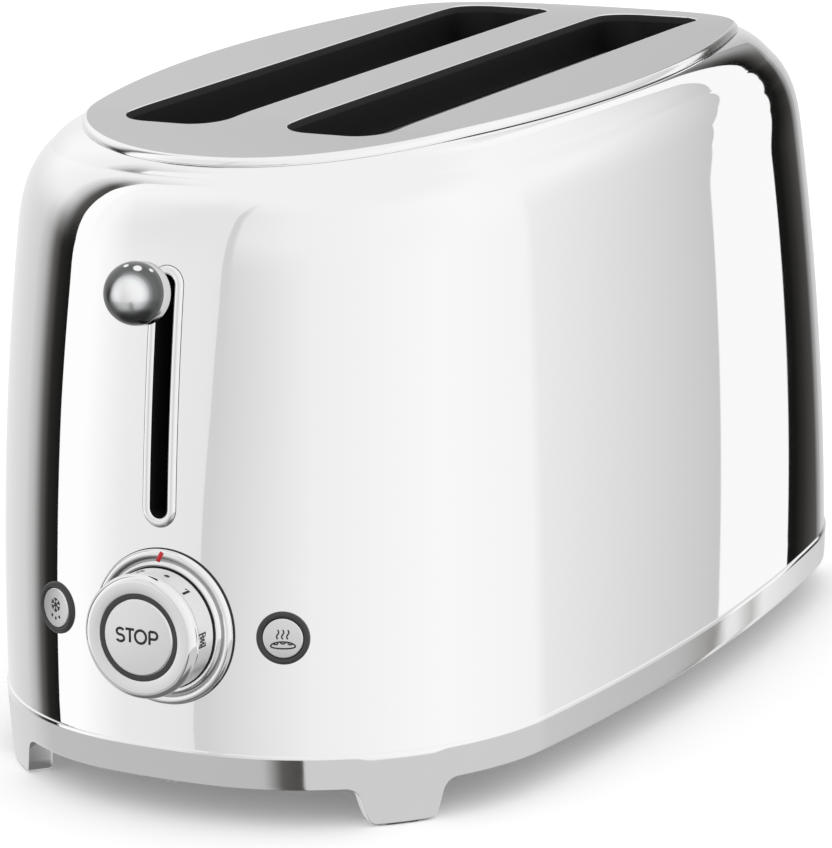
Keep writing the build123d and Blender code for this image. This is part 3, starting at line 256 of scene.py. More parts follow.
def outward(piece, merge=0.0):
    """Turns the faces of closed meshes outward, after merging points that touch."""
    work = bmesh.new()
    work.from_mesh(piece.data)
    if merge:
        bmesh.ops.remove_doubles(work, verts=work.verts, dist=merge)
    bmesh.ops.recalc_face_normals(work, faces=work.faces)
    work.to_mesh(piece.data)
    work.free()
    return piece


def ring_faces(loops, count, start=0):
    """Quads between successive closed loops of the same number of points."""
    faces = []
    for k in range(loops - 1):
        a, b = start + k * count, start + (k + 1) * count
        for i in range(count):
            j = (i + 1) % count
            faces.append((a + i, a + j, b + j, b + i))
    return faces


def rounded(points, radius, steps=5):
    """Open profile with its inner corners rounded."""
    out = [points[0]]
    for before, here, after in zip(points, points[1:], points[2:]):
        p, q, r = Vector(before), Vector(here), Vector(after)
        reach = min(radius, (p - q).length * 0.48, (r - q).length * 0.48)
        a, b = q + (p - q).normalized() * reach, q + (r - q).normalized() * reach
        for i in range(steps + 1):
            f = i / steps
            out.append(tuple(a * (1 - f) ** 2 + q * 2 * f * (1 - f) + b * f**2))
    return out + [points[-1]]


def arc(cx, cy, rx, ry, start, stop, steps=16):
    """Points along part of an ellipse, with angles in degrees."""
    angles = [math.radians(start + (stop - start) * i / steps) for i in range(steps + 1)]
    return [(cx + rx * math.cos(t), cy + ry * math.sin(t)) for t in angles]


def turned(name, plane, profile, materials, body, indices=None, count=160):
    """Piece turned about a plane's normal; indices holds the last profile row of each material."""
    verts = []
    for r, h in profile:
        for i in range(count):
            t = 2 * math.pi * i / count
            verts.append(plane.at(max(r, 0.001) * math.cos(t), max(r, 0.001) * math.sin(t), h))
    faces = ring_faces(len(profile), count)
    index = None
    if indices:
        rows = [next(k for k, last in enumerate(indices) if row < last) for row in range(len(profile) - 1)]
        index = [rows[k // count] for k in range(len(faces))]
    return make(name, verts, faces, materials, body, indices=index)


def strokes_piece(name, strokes, half_w, half_h, material, body, sides=8):
    """Flat round strokes: each is a list of points in metres and the direction that it faces."""
    verts, faces = [], []
    for points, face_out in strokes:
        closed = (points[0] - points[-1]).length < 1e-8
        line = points[:-1] if closed else points
        start, count = len(verts), len(line)
        for i, p in enumerate(line):
            before = line[i - 1] if closed or i else p
            after = line[(i + 1) % count] if closed or i < count - 1 else p
            along = (after - before).normalized()
            side = along.cross(face_out).normalized()
            lift = side.cross(along)
            for k in range(sides):
                t = 2 * math.pi * k / sides
                verts.append(p + side * (half_w * MM * math.cos(t)) + lift * (half_h * MM * math.sin(t)))
        for i in range(count if closed else count - 1):
            a, b = start + i * sides, start + (i + 1) % count * sides
            faces += [(a + k, a + (k + 1) % sides, b + (k + 1) % sides, b + k) for k in range(sides)]
        if not closed:
            faces.append(tuple(range(start, start + sides)))
            faces.append(tuple(range(start + (count - 1) * sides, start + count * sides)))
    return outward(make(name, verts, faces, [material], body))


def on_plane(plane, h, lines):
    """Strokes drawn at height h over a front plane."""
    return [([plane.at(a, b, h) for a, b in line], plane.out) for line in lines]


def grey(value, tint=(1.0, 1.0, 1.0)):
    """Linear colour of a grey given on the 0 to 255 scale, with an optional tint."""
    v = value / 255
    linear = v / 12.92 if v <= 0.04045 else ((v + 0.055) / 1.055) ** 2.4
    return tuple(linear * t for t in tint) + (1.0,)


def add(tree, kind, links_in=(), **settings):
    """New node with some settings and some linked or set inputs."""
    made = tree.nodes.new(kind)
    for key, value in settings.items():
        setattr(made, key, value)
    for socket, value in links_in:
        if isinstance(value, bpy.types.NodeSocket):
            tree.links.new(value, made.inputs[socket])
        else:
            made.inputs[socket].default_value = value
    return made


def mixed(tree, factor, a, b):
    """Colour between a and b."""
    return add(tree, "ShaderNodeMix", [("Factor", factor), (6, a), (7, b)], data_type="RGBA").outputs[2]


def ramp(tree, value, stops):
    """Colour ramp with (position, colour) stops."""
    made = add(tree, "ShaderNodeValToRGB", [("Fac", value)])
    elements = made.color_ramp.elements
    elements.remove(elements[1])
    for i, (position, colour) in enumerate(stops):
        element = elements[0] if i == 0 else elements.new(position)
        element.position = position
        element.color = colour
    return made.outputs["Color"]


def finish_of(name, colour, metallic, roughness, spread=0.03, scale=2500.0, grain=0.0, shade=0.0, coat=0.0):
    """Material with fine grain in its roughness, colour and bump."""
    material = bpy.data.materials.new(name)
    material.use_nodes = True
    tree = material.node_tree
    shader = tree.nodes["Principled BSDF"]
    shader.inputs["Base Color"].default_value = colour
    shader.inputs["Metallic"].default_value = metallic
    if coat:
        shader.inputs["Coat Weight"].default_value = coat
        shader.inputs["Coat Roughness"].default_value = 0.15
    coords = add(tree, "ShaderNodeTexCoord")
    noise = add(tree, "ShaderNodeTexNoise", [("Vector", coords.outputs["Object"]), ("Scale", scale),
                ("Detail", 3.0)])
    rough = add(tree, "ShaderNodeMapRange", [("Value", noise.outputs["Fac"]), ("From Min", 0.3),
                ("From Max", 0.7), ("To Min", max(roughness - spread, 0.01)), ("To Max", roughness + spread)])
    tree.links.new(rough.outputs["Result"], shader.inputs["Roughness"])
    if shade:
        dark = tuple(c * (1 - shade) for c in colour[:3]) + (1.0,)
        light = tuple(min(c * (1 + shade), 1.0) for c in colour[:3]) + (1.0,)
        tree.links.new(mixed(tree, noise.outputs["Fac"], dark, light), shader.inputs["Base Color"])
    if grain:
        bump = add(tree, "ShaderNodeBump", [("Strength", grain), ("Distance", 0.0001),
                   ("Height", noise.outputs["Fac"])])
        tree.links.new(bump.outputs["Normal"], shader.inputs["Normal"])
    return material


COOL = (1.0, 1.02, 1.03)
POLISHED = finish_of("polished_steel", grey(253), 1.0, 0.02, spread=0.008, scale=30)
INSIDE = finish_of("inner_steel", grey(120), 1.0, 0.45, scale=400, shade=0.05)
SATIN_PLATE = finish_of("satin_plate", grey(206, (1.0, 0.985, 0.985)), 1.0, 0.34, grain=0.04, shade=0.02)
PLATE_RIM = finish_of("plate_rim", grey(253), 1.0, 0.12, spread=0.02, scale=200)
SATIN_BAND = finish_of("satin_band", grey(253), 1.0, 0.07, spread=0.02, scale=120, shade=0.01)
BRIGHT = finish_of("bright_trim", grey(248), 1.0, 0.07, spread=0.02, scale=120)
BEZEL_STEEL = finish_of("bezel_steel", grey(250), 1.0, 0.10, spread=0.02, scale=300)
# A darker steel for the bezel's groove: painted shade in the recess
GROOVE_SHADE = finish_of("groove_painted_shade", grey(168), 1.0, 0.24, spread=0.03, scale=300)
SATIN_KNOB = finish_of("satin_knob", grey(244), 1.0, 0.30, grain=0.03, scale=4000, shade=0.02)
BUTTON_CAP = finish_of("button_cap", grey(238), 1.0, 0.32, grain=0.03, scale=4000, shade=0.02)
BARREL_STEEL = finish_of("barrel_steel", grey(226), 1.0, 0.18, spread=0.03, scale=200)
BLACK = finish_of("black_plastic", grey(50, COOL), 0.0, 0.36, grain=0.05, scale=3000, shade=0.06)
# Near-black painted shade for the gaps around the trim, bezel and plate, and for the dial knob's notch
SHADE_LINE = finish_of("painted_shade_line", grey(38), 0.0, 0.7, scale=900, shade=0.08)
# Near-black painted shade inside the trim's slot and under the dial knob
SHADE_TUNNEL = finish_of("painted_shade_tunnel", grey(10, COOL), 0.0, 0.6, scale=900, shade=0.08)
LINER = finish_of("black_enamel", grey(12, COOL), 0.0, 0.45, grain=0.05, scale=1500, shade=0.1)
RAIL = finish_of("rail_enamel", grey(150, COOL), 0.7, 0.38, grain=0.2, scale=1800, shade=0.12)
RED = finish_of("red_mark", (0.55, 0.012, 0.02, 1.0), 0.0, 0.3, shade=0.04)
RUBBER = finish_of("rubber", grey(38), 0.0, 0.8, grain=0.2, scale=1200, shade=0.08)
ZINC = finish_of("zinc_sheet", grey(168), 1.0, 0.42, grain=0.08, scale=200, shade=0.06)
# A darker zinc than the sheet's own, as painted shade inside the body
SHADE_ZINC = finish_of("zinc_painted_shade", grey(52), 1.0, 0.45, grain=0.08, scale=200, shade=0.1)
WIRE = finish_of("bright_wire", grey(190), 1.0, 0.22, spread=0.05, scale=300)
MICA = finish_of("mica", grey(96, (1.0, 0.88, 0.68)), 0.0, 0.6, grain=0.2, scale=150, shade=0.12)
RIBBON = finish_of("ribbon_alloy", grey(90, (1.0, 0.94, 0.88)), 1.0, 0.5, scale=400, shade=0.1)
PLATED = finish_of("plated_steel", grey(190), 1.0, 0.25, spread=0.05, scale=400)
GREEN = finish_of("board_green", (0.02, 0.12, 0.05, 1.0), 0.0, 0.4, scale=300, shade=0.08, coat=0.4)
GREY_PLASTIC = finish_of("grey_plastic", grey(40), 0.0, 0.55, grain=0.2, scale=900, shade=0.06)
WINDING = finish_of("coil_winding", (0.32, 0.09, 0.03, 1.0), 0.3, 0.4, grain=0.5, scale=700, shade=0.15)
IRON = finish_of("iron", grey(120), 1.0, 0.5, grain=0.3, scale=400, shade=0.1)
CERAMIC = finish_of("ceramic", grey(215, (1.0, 0.98, 0.92)), 0.0, 0.3, scale=300, shade=0.03, coat=0.5)
BRASS = finish_of("bus_metal", (0.55, 0.38, 0.12, 1.0), 1.0, 0.35, scale=300, shade=0.08)
LEAD_SLEEVE = finish_of("lead_sleeve", (0.33, 0.03, 0.02, 1.0), 0.0, 0.5, grain=0.3, scale=1200, shade=0.06)
INK = finish_of("ink", grey(26, COOL), 0.0, 0.45, scale=2500, shade=0.08)

SLOT_MATERIALS = {
    "polished_steel": POLISHED, "satin_steel": SATIN_PLATE, "satin_band": SATIN_BAND, "bright_trim": BRIGHT,
    "satin_knob": SATIN_KNOB, "button_cap": BUTTON_CAP, "black_plastic": BLACK, "black_enamel": LINER,
    "red_mark": RED, "rubber": RUBBER, "zinc_sheet": ZINC, "bright_wire": WIRE, "mica": MICA,
    "ribbon_alloy": RIBBON, "plated_steel": PLATED, "board_green": GREEN, "grey_plastic": GREY_PLASTIC,
    "coil_winding": WINDING, "iron": IRON, "ceramic": CERAMIC, "bus_metal": BRASS, "lead_sleeve": LEAD_SLEEVE,
}
for part in frame["record"]["subparts"]:
    node = frame["nodes"][part["node"]]
    node.data.materials.clear()
    node.data.materials.append(SLOT_MATERIALS[part["material_slot"]])
# The chassis, reflectors and guide rods inside the body get the darker zinc as painted shade
for name in ("chassis_front", "chassis_rear", "outer_reflectors", "centre_reflector", "guide_rods"):
    frame["nodes"][name].data.materials[0] = SHADE_ZINC


def ball_steel():
    """Grey chrome of the lever's ball. Its pale middle and three small lights are painted into the colour by
    the direction of the surface; no lamp makes them."""
    material = finish_of("knob_chrome", grey(110), 1.0, 0.26, spread=0.02, scale=120)
    tree = material.node_tree
    coords = add(tree, "ShaderNodeTexCoord")

    def facing(direction):
        return add(tree, "ShaderNodeVectorMath", [(0, coords.outputs["Normal"]), (1, direction)],
                   operation="DOT_PRODUCT").outputs["Value"]

    stops = ((0.0, 200), (0.25, 125), (0.5, 100), (0.7, 110), (0.78, 150), (0.84, 210), (0.9, 245),
             (0.95, 255))
    colour = ramp(tree, facing(BALL_PAINTED_REFLECTION), [(p, grey(v, COOL)) for p, v in stops])
    for direction, size in BALL_PAINTED_HIGHLIGHTS:
        inside, outside = math.cos(math.radians(size)), math.cos(math.radians(size + 3.0))
        glow = add(tree, "ShaderNodeMapRange", [("Value", facing(direction)), ("From Min", outside),
                   ("From Max", inside)], interpolation_type="SMOOTHSTEP")
        colour = mixed(tree, glow.outputs["Result"], colour, (1.0, 1.0, 1.0, 1.0))
    tree.links.new(colour, tree.nodes["Principled BSDF"].inputs["Base Color"])
    return material


def toward(azimuth, elevation):
    """Unit direction from an azimuth from -Y towards +X and an elevation, in degrees."""
    a, e = math.radians(azimuth), math.radians(elevation)
    return (math.sin(a) * math.cos(e), -math.cos(a) * math.cos(e), math.sin(e))


# Axis of the ball's painted reflection, and the directions and sizes in degrees of its three painted
# highlights
BALL_PAINTED_REFLECTION = toward(19.0, 11.0)
BALL_PAINTED_HIGHLIGHTS = ((toward(42.5, 63.0), 6.0), (toward(-16.0, 69.0), 3.0), (toward(86.0, 52.0), 2.5))


def smooth_normals(piece, normal_of):
    """Gives a mesh the exact normals of its surface, or its faces' own where there are none."""
    mesh = piece.data
    normals = []
    for polygon in mesh.polygons:
        for v in polygon.vertices:
            x, y, z = mesh.vertices[v].co / MM
            normals.append(normal_of(polygon, x, y - SHIFT, z))
    mesh.normals_split_custom_set(normals)


def shell_grid():
    """Outer and inner surfaces of the shell, closed at the foot and under the plate."""
    bow = [BAND_TOP + (SHOULDER_Z - BAND_TOP) * i / 60 for i in range(60)]
    turns = [math.pi / 2 * i / 40 for i in range(41)]
    heights = bow + [SHOULDER_Z + SHOULDER_DROP * math.sin(t) for t in turns]
    outer = []
    for z in heights:
        for x, y in outline_loop(shell_outline(z)):
            outer.append((x, y, min(z, plate_top(y) - PLATE_T)))
    inner = []
    for x, y, z in outer:
        n = shell_normal(x, y, z)
        inner.append((x - n.x, y - n.y, z - n.z))
    count, loops = len(outline_loop(BAND)), len(heights)
    wrap, top = count * loops, count * (loops - 1)
    faces = ring_faces(loops, count)
    faces += [tuple(reversed([v + wrap for v in face])) for face in ring_faces(loops, count)]
    index = [0] * (len(faces) // 2) + [1] * (len(faces) // 2)
    for i in range(count):
        j = (i + 1) % count
        faces.append((j, i, wrap + i, wrap + j))
        faces.append((top + i, top + j, wrap + top + j, wrap + top + i))
        index += [1, 1]
    return [place(*p) for p in outer + inner], faces, index


def prism(loop, start, stop):
    """Closed prism between two copies of a loop, made by two point functions."""
    count = len(loop)
    verts = [start(*p) for p in loop] + [stop(*p) for p in loop]
    faces = [tuple(range(count)), tuple(reversed(range(count, 2 * count)))]
    faces += [(i + count, (i + 1) % count + count, (i + 1) % count, i) for i in range(count)]
    return outward(make("tool", verts, faces, [INSIDE], None, smooth=False))


def stadium(half_w, low, high, steps=24, parts=1):
    """Closed loop of (x, z) points of an upright round-ended slot."""
    points = arc(0, high - half_w, half_w, half_w, 0, 180, steps)
    left = [(-half_w, high - half_w + (low - high + 2 * half_w) * i / parts) for i in range(1, parts)]
    points += left + arc(0, low + half_w, half_w, half_w, 180, 360, steps)
    return points + [(-x, z) for x, z in reversed(left)]


def cut(piece, tools):
    """Takes the tools out of the piece and removes them."""
    bpy.context.view_layer.objects.active = piece
    for tool in tools:
        modifier = piece.modifiers.new("cut", "BOOLEAN")
        modifier.operation, modifier.solver, modifier.object = "DIFFERENCE", "EXACT", tool
        bpy.ops.object.modifier_apply(modifier=modifier.name)
        bpy.data.objects.remove(tool)


def shell_face_normal(face, x, y, z):
    """Exact normal outside, and the face's own inside and at the edges."""
    return face.normal if face.material_index else shell_normal(x, y, z)


verts, faces, index = shell_grid()
shell = make("shell_skin", verts, faces, [POLISHED, INSIDE], "housing", indices=index)
SLOT_CUT = stadium(4.6, 97.0, 175.6)
tools = [prism(SLOT_CUT, lambda x, z: place(x, -150, z), lambda x, z: place(x, -200, z))]
for plane, radius in ((DIAL, 9.0), (DEFROST, 7.3), (REHEAT, 7.3)):
    circle = arc(0, 0, radius, radius, 0, 360, 64)[:-1]
    tools.append(prism(circle, lambda a, b: plane.at(a, b, -15), lambda a, b: plane.at(a, b, 15)))
cut(shell, tools)
smooth_normals(shell, shell_face_normal)
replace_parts(shell, "body_shell")


FOOT_SIDE = rounded([(0.0, FOOT_Z), (FOOT_HALF, FOOT_Z), (KNEE, KNEE_Z)], 2.6)
FOOT_FLARE = rounded([(KNEE, KNEE_Z), (FOOT_ROOT, BAND_BOTTOM), (FOOT_REACH + 6.0, BAND_BOTTOM)], 4.6, 8)
FOOT_EDGE = FOOT_SIDE + FOOT_FLARE[1:]


def band_bottom(x, y):
    """Height of the band's lower edge at a point of its outline."""
    cx, cy = corner_centre(BAND)
    out = (math.cos(FOOT_ANGLE), math.sin(FOOT_ANGLE))
    dx, dy = abs(x) - cx - BAND[4] * out[0], abs(y) - cy - BAND[4] * out[1]
    along = abs(dx * out[1] - dy * out[0])
    if along >= FOOT_REACH or math.hypot(dx, dy) > 2 * FOOT_REACH:
        return BAND_BOTTOM
    for (a, low), (b, high) in zip(FOOT_EDGE, FOOT_EDGE[1:]):
        if a <= along <= b:
            return low + (high - low) * (along - a) / (b - a)
    return BAND_BOTTOM


def band_section(bottom):
    """Section of the band as (distance in from the outline, height), from its top inner edge outward."""
    rows = [(BAND_WALL, BAND_TOP), (BAND_LIP + 0.05, BAND_TOP)]
    rows += [(0.02 + (BAND_LIP + 0.03) * (1 - math.sin(t)), BAND_TOP - BAND_LIP * (1 - math.cos(t)))
             for t in [math.pi / 2 * i / 5 for i in range(1, 6)]]
    top, low = BAND_TOP - BAND_LIP, bottom + 0.45
    rows += [(0.02 + BAND_LEAN * (top - z), z) for z in [top + (low - top) * i / 8 for i in range(1, 9)]]
    foot_in = 0.02 + BAND_LEAN * (top - low)
    rows += [(foot_in + 0.45 * (1 - math.cos(t)), low - 0.45 * math.sin(t))
             for t in [math.pi / 2 * i / 4 for i in range(1, 5)]]
    rows += [(BAND_WALL, bottom), (BAND_WALL, BAND_BOTTOM), (BAND_WALL + LEDGE_REACH, BAND_BOTTOM)]
    return rows + [(BAND_WALL + LEDGE_REACH, LEDGE_TOP), (BAND_WALL, LEDGE_TOP), (BAND_WALL, BAND_TOP)]


def foot_block(sx, sy):
    """Rounded block behind the band's skin at one foot."""
    cx, cy = corner_centre(BAND)
    out = Vector((sx * math.cos(FOOT_ANGLE), sy * math.sin(FOOT_ANGLE), 0))
    middle = Vector((sx * cx, sy * cy, 0)) + out * BAND[4]
    side = Vector((-out.y, out.x, 0))
    half = FOOT_SIDE + [(FOOT_ROOT, BAND_BOTTOM + 0.5)]
    edge = half + [(-a, z) for a, z in reversed(half[1:])]
    verts = []
    for inward, small in ((2.0, 1.0), (FOOT_DEPTH - 1.2, 1.0), (FOOT_DEPTH - 0.35, 0.97), (FOOT_DEPTH, 0.9)):
        for a, z in edge:
            low = BAND_BOTTOM + 0.5 - (BAND_BOTTOM + 0.5 - z) * (small + 1) / 2
            verts.append(place(*(middle - out * inward + side * a * small + Vector((0, 0, low)))))
    count = len(edge)
    faces = ring_faces(4, count)
    faces += [tuple(range(count)), tuple(range(3 * count, 4 * count))]
    return verts, faces


def band_piece():
    """Band with a lean, rounded edges and the four feet drawn down from it."""
    columns = outline_loop(BAND, (24, 150, 24))
    sections = []
    for x, y in columns:
        _, (nx, ny) = outside_by(BAND, x, y)
        section = band_section(band_bottom(x, y))
        sections.append([place(x - nx * inset, y - ny * inset, z) for inset, z in section])
    count, loops = len(columns), len(sections[0])
    verts = [sections[i][k] for k in range(loops) for i in range(count)]
    faces = ring_faces(loops, count)
    for sx, sy in ((1, -1), (-1, -1), (1, 1), (-1, 1)):
        more, sides = foot_block(sx, sy)
        faces += [tuple(v + len(verts) for v in face) for face in sides]
        verts += more
    return outward(make("band_skin", verts, faces, [SATIN_BAND], "housing"), 1e-6)


def edges_between_flats(piece, degrees=40.0):
    """Smooth shading that breaks at edges sharper than an angle."""
    work = bmesh.new()
    work.from_mesh(piece.data)
    for edge in work.edges:
        edge.smooth = edge.is_boundary or edge.calc_face_angle(0.0) < math.radians(degrees)
    work.to_mesh(piece.data)
    work.free()
    return piece


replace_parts(edges_between_flats(band_piece()), "base_band")


def slot_loop(x, margin, steps=10):
    """Closed loop around one bread slot, grown by a margin."""
    half_w, half_l, r = SLOT_HALF_W + margin, SLOT_HALF_L + margin, SLOT_R + margin
    points = []
    for k, (sx, sy) in enumerate(((1, 1), (-1, 1), (-1, -1), (1, -1))):
        points += arc(x + sx * (half_w - r), sy * (half_l - r), r, r, 90 * k, 90 * k + 90, steps)
    dense = []
    for (ax, ay), (bx, by) in zip(points, points[1:] + points[:1]):
        dense.append((ax, ay))
        parts = int(abs(by - ay) // 4)
        dense += [(ax + (bx - ax) * i / parts, ay + (by - ay) * i / parts) for i in range(1, parts)]
    return dense


RIM_PROFILE = ((-1.6, 0.0), (-1.4, 0.04), (-1.0, 0.25), (-0.5, 0.75), (-0.15, 1.3), (0.0, 1.8), (0.0, 2.4),
               (-0.25, 2.62), (-0.25, 3.2))
SLOT_PROFILE = ((0.3, 0.0), (0.12, 0.04), (0.03, 0.13), (0.0, 0.32), (0.0, 2.7))
# Depth below which the plate's rim and its slot walls carry painted shade
SHADE_DEPTH = {0: 2.5, 1: 0.3, 2: 0.3}


def plate_piece():
    """Plate with rounded edges: satin on top, polished at its rim, with painted shade under the rim and down
    the slot walls that meet the liners.
    """
    work = bmesh.new()
    loops = [[(x, y, plate_top(y) - down) for x, y in outline_loop(grown(PLATE, out), (24, 30, 24))]
             for out, down in RIM_PROFILE]
    groups = [(loops, RIM_PROFILE)]
    for x0 in (-SLOT_X, SLOT_X):
        loops = [[(x, y, plate_top(y) - down) for x, y in slot_loop(x0, out)] for out, down in SLOT_PROFILE]
        groups.append((loops, SLOT_PROFILE))
    edges = []
    for k, (loops, profile) in enumerate(groups):
        rings = [[work.verts.new(place(*p)) for p in loop] for loop in loops]
        count = len(rings[0])
        for (upper, lower), (_, down) in zip(zip(rings, rings[1:]), profile):
            for i in range(count):
                j = (i + 1) % count
                quad = (upper[i], lower[i], lower[j], upper[j])
                face = work.faces.new(quad if k == 0 else tuple(reversed(quad)))
                face.material_index = 2 if down > SHADE_DEPTH[k] else 1
        edges += [work.edges.get((rings[0][i], rings[0][(i + 1) % count])) for i in range(count)]
    filled = bmesh.ops.triangle_fill(work, use_beauty=True, use_dissolve=False, edges=edges, normal=(0, 0, 1))
    for face in filled["geom"]:
        if isinstance(face, bmesh.types.BMFace):
            face.material_index = 0
    for k in range(1, 24):
        for sign in (-1, 1):
            y = sign * (PLATE_FLAT + k * (PLATE_END - PLATE_FLAT) / 24)
            geom = [f for f in work.faces if f.material_index == 0]
            geom += list({e for f in geom for e in f.edges}) + list({v for f in geom for v in f.verts})
            bmesh.ops.bisect_plane(work, geom=geom, dist=1e-7, plane_co=place(0, y, 0), plane_no=(0, 1, 0))
    for face in work.faces:
        if face.material_index == 0:
            for v in face.verts:
                v.co.z = plate_top(v.co.y / MM - SHIFT) * MM
    piece = make("plate_skin", [], [], [SATIN_PLATE, PLATE_RIM, SHADE_LINE], "housing")
    work.to_mesh(piece.data)
    work.free()
    piece.data.polygons.foreach_set("use_smooth", [True] * len(piece.data.polygons))
    return piece


def plate_normal(face, x, y, z):
    """Normal of the plate's gently rolled top."""
    if face.material_index:
        return Vector((0, 0, 0))
    slope = (plate_top(y + 0.05) - plate_top(y - 0.05)) / 0.1
    return Vector((0, -slope, 1)).normalized()


plate = plate_piece()
smooth_normals(plate, plate_normal)
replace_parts(plate, "top_plate")

# Formed rails that ride on the wire guides under the slots, with a bright wire along each edge
RAIL_Y, RAIL_TOP, WIRE_R, WIRE_Z, WIRE_IN = 122.0, 198.3, 0.65, 195.3, 6.0
INNER_WALL, OUTER_WALL = 12.0, 48.0
HOOK_Y, HOOK_LENGTH, HOOK_IN, HOOK_RISE = 104.0, 14.0, 1.6, 3.2
RAIL_SECTION = rounded([(-0.6, 0.0), (0.4, 0.0), (5.4, -3.2), (5.4, -3.8), (0.2, -0.6), (-0.6, -0.6)], 0.5, 3)


def rail_piece(label, wall, toward_slot):
    """Formed rail along one guide."""
    verts = [place(wall + toward_slot * a, y, RAIL_TOP + b) for y in (-RAIL_Y, RAIL_Y)
             for a, b in RAIL_SECTION]
    count = len(RAIL_SECTION)
    faces = ring_faces(2, count) + [tuple(range(count)), tuple(range(count, 2 * count))]
    rail = make(f"rail_{label}", verts, faces, [RAIL], f"guide_{label}")
    return edges_between_flats(outward(rail))


def edge_wire(label, wall, toward_slot):
    """Wire along a rail's edge, with a hook at its far end."""
    x = wall + toward_slot * WIRE_IN
    bend = [(x, y, WIRE_Z) for y in (-RAIL_Y, -60.0, 0.0, 60.0, 98.0, HOOK_Y)]
    for f in [i / 12 for i in range(1, 13)]:
        bend.append((x + toward_slot * (HOOK_IN * f), HOOK_Y + HOOK_LENGTH * f, WIRE_Z + HOOK_RISE * f * f))
    line = [([place(*p) for p in bend], Vector((0, 0, 1)))]
    return strokes_piece(f"edge_wire_{label}", line, WIRE_R, WIRE_R, WIRE, f"guide_{label}",
                         12)


for side, name in ((-1, "left"), (1, "right")):
    for wall, place_name, toward_slot in ((INNER_WALL, "inner", side), (OUTER_WALL, "outer", -side)):
        rail_piece(f"{name}_{place_name}", side * wall, toward_slot)
        edge_wire(f"{name}_{place_name}", side * wall, toward_slot)


def trim_piece():
    """Raised trim around the lever's slot, with painted shade on its outer wall where it meets the shell and
    on its inner walls down into the slot.
    """
    low, high, half_w = 95.6, 177.0, 5.9
    profile = [(6.14, -0.3), (6.14, 0.05), (5.92, 0.06), (5.9, 0.45), (5.7, 0.85), (5.3, 1.12), (4.7, 1.22),
               (4.0, 1.18), (3.5, 1.0), (3.2, 0.7), (3.05, 0.3), (3.0, -0.5), (3.0, -9.0)]
    verts = []
    for half, h in profile:
        loop = stadium(half, low + half_w - half, high - half_w + half, 32, 24)
        for x, z in loop:
            n = shell_normal(0.0, front_y(0.0, z), z)
            verts.append(place(*(Vector((x, front_y(x, z), z)) + n * h)))
    count = len(loop)
    faces = [tuple(reversed(face)) for face in ring_faces(len(profile), count)]
    index = [SHADE_ROWS.get(k // count, 1) for k in range(len(faces))]
    return make("trim_skin", verts, faces, [SHADE_LINE, BRIGHT, SHADE_TUNNEL], "housing", indices=index)


# Trim rows with painted shade: the outer wall at the shell, and the inner walls of the slot
SHADE_ROWS = {0: 0, 1: 0, 10: 2, 11: 2}
trim = trim_piece()
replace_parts(trim, "lever_slot_trim")

# Bezel rows: painted shade on the outer wall, steel, darker steel as painted shade in the groove, steel, then
# painted shade on the inner wall and the floor under the knob
BEZEL = [(25.25, -0.6), (25.25, 0.05), (25.0, 0.08), (25.0, 0.6), (24.85, 1.3), (24.4, 1.8), (23.7, 2.05),
         (23.0, 2.0), (22.55, 1.65), (22.3, 1.0), (21.9, 0.75), (21.4, 0.8), (21.15, 1.2), (21.1, 2.3),
         (20.95, 2.75), (20.5, 2.9), (20.05, 2.75), (19.85, 2.3), (19.8, 0.4), (6.0, 0.4)]
bezel = turned("bezel_skin", DIAL, BEZEL, [SHADE_LINE, BEZEL_STEEL, GROOVE_SHADE, BEZEL_STEEL, SHADE_TUNNEL], "housing",
               (3, 8, 12, 17, 99))
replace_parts(bezel, "dial_bezel")
mark = [(24.3, 88.6), (23.4, 89.8), (22.4, 91.2), (21.4, 92.6)]
mark_points = [DIAL.at(r * math.cos(math.radians(t)), r * math.sin(math.radians(t)), 2.1) for r, t in mark]
pointer = strokes_piece("pointer_skin", [(mark_points, DIAL.out)], 0.75, 0.4, RED, "housing", 16)
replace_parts(pointer, "pointer_mark")

SKIRT_R, KNOB_R, KNOB_H, RING_R, CAP_R = 19.4, 20.0, 16.4, 14.1, 12.1
KNOB = [(3.5, 3.0), (19.0, 3.0), (SKIRT_R, 3.3), (SKIRT_R, 11.9), (18.9, 12.0), (18.9, 12.4), (19.7, 12.5)]
KNOB += arc(KNOB_R - 2.4, KNOB_H - 2.4, 2.4, 2.4, -8, 90, 16)
KNOB += [(14.6, KNOB_H), (14.2, KNOB_H - 0.1), (RING_R, KNOB_H - 0.4), (RING_R, 8.2), (3.5, 8.2)]
# The notch between the skirt and the rounded rim carries painted shade
knob = turned("dial_skin", DIAL, KNOB, [SATIN_KNOB, SHADE_LINE, BRIGHT, SATIN_KNOB], "dial",
              (3, 6, 23, 99))
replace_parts(edges_between_flats(knob), "dial_knob")
RING = rounded([(CAP_R + 0.1, 8.2), (RING_R, 8.2), (RING_R, KNOB_H - 0.3), (CAP_R + 0.1, KNOB_H - 0.3),
                (CAP_R + 0.1, 8.2)], 0.3, 3)
ring = turned("ring_skin", DIAL, RING, [BLACK], "dial")
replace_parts(ring, "stop_ring")
CAP = [(0.0, 10.5), (CAP_R, 10.5), (CAP_R, KNOB_H - 0.5)]
CAP += arc(CAP_R - 0.4, KNOB_H - 0.4, 0.4, 0.4, 0, 90, 6) + [(0.0, KNOB_H)]
cap = turned("stop_skin", DIAL, CAP, [SATIN_KNOB], "stop")
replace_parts(edges_between_flats(cap), "stop_button")

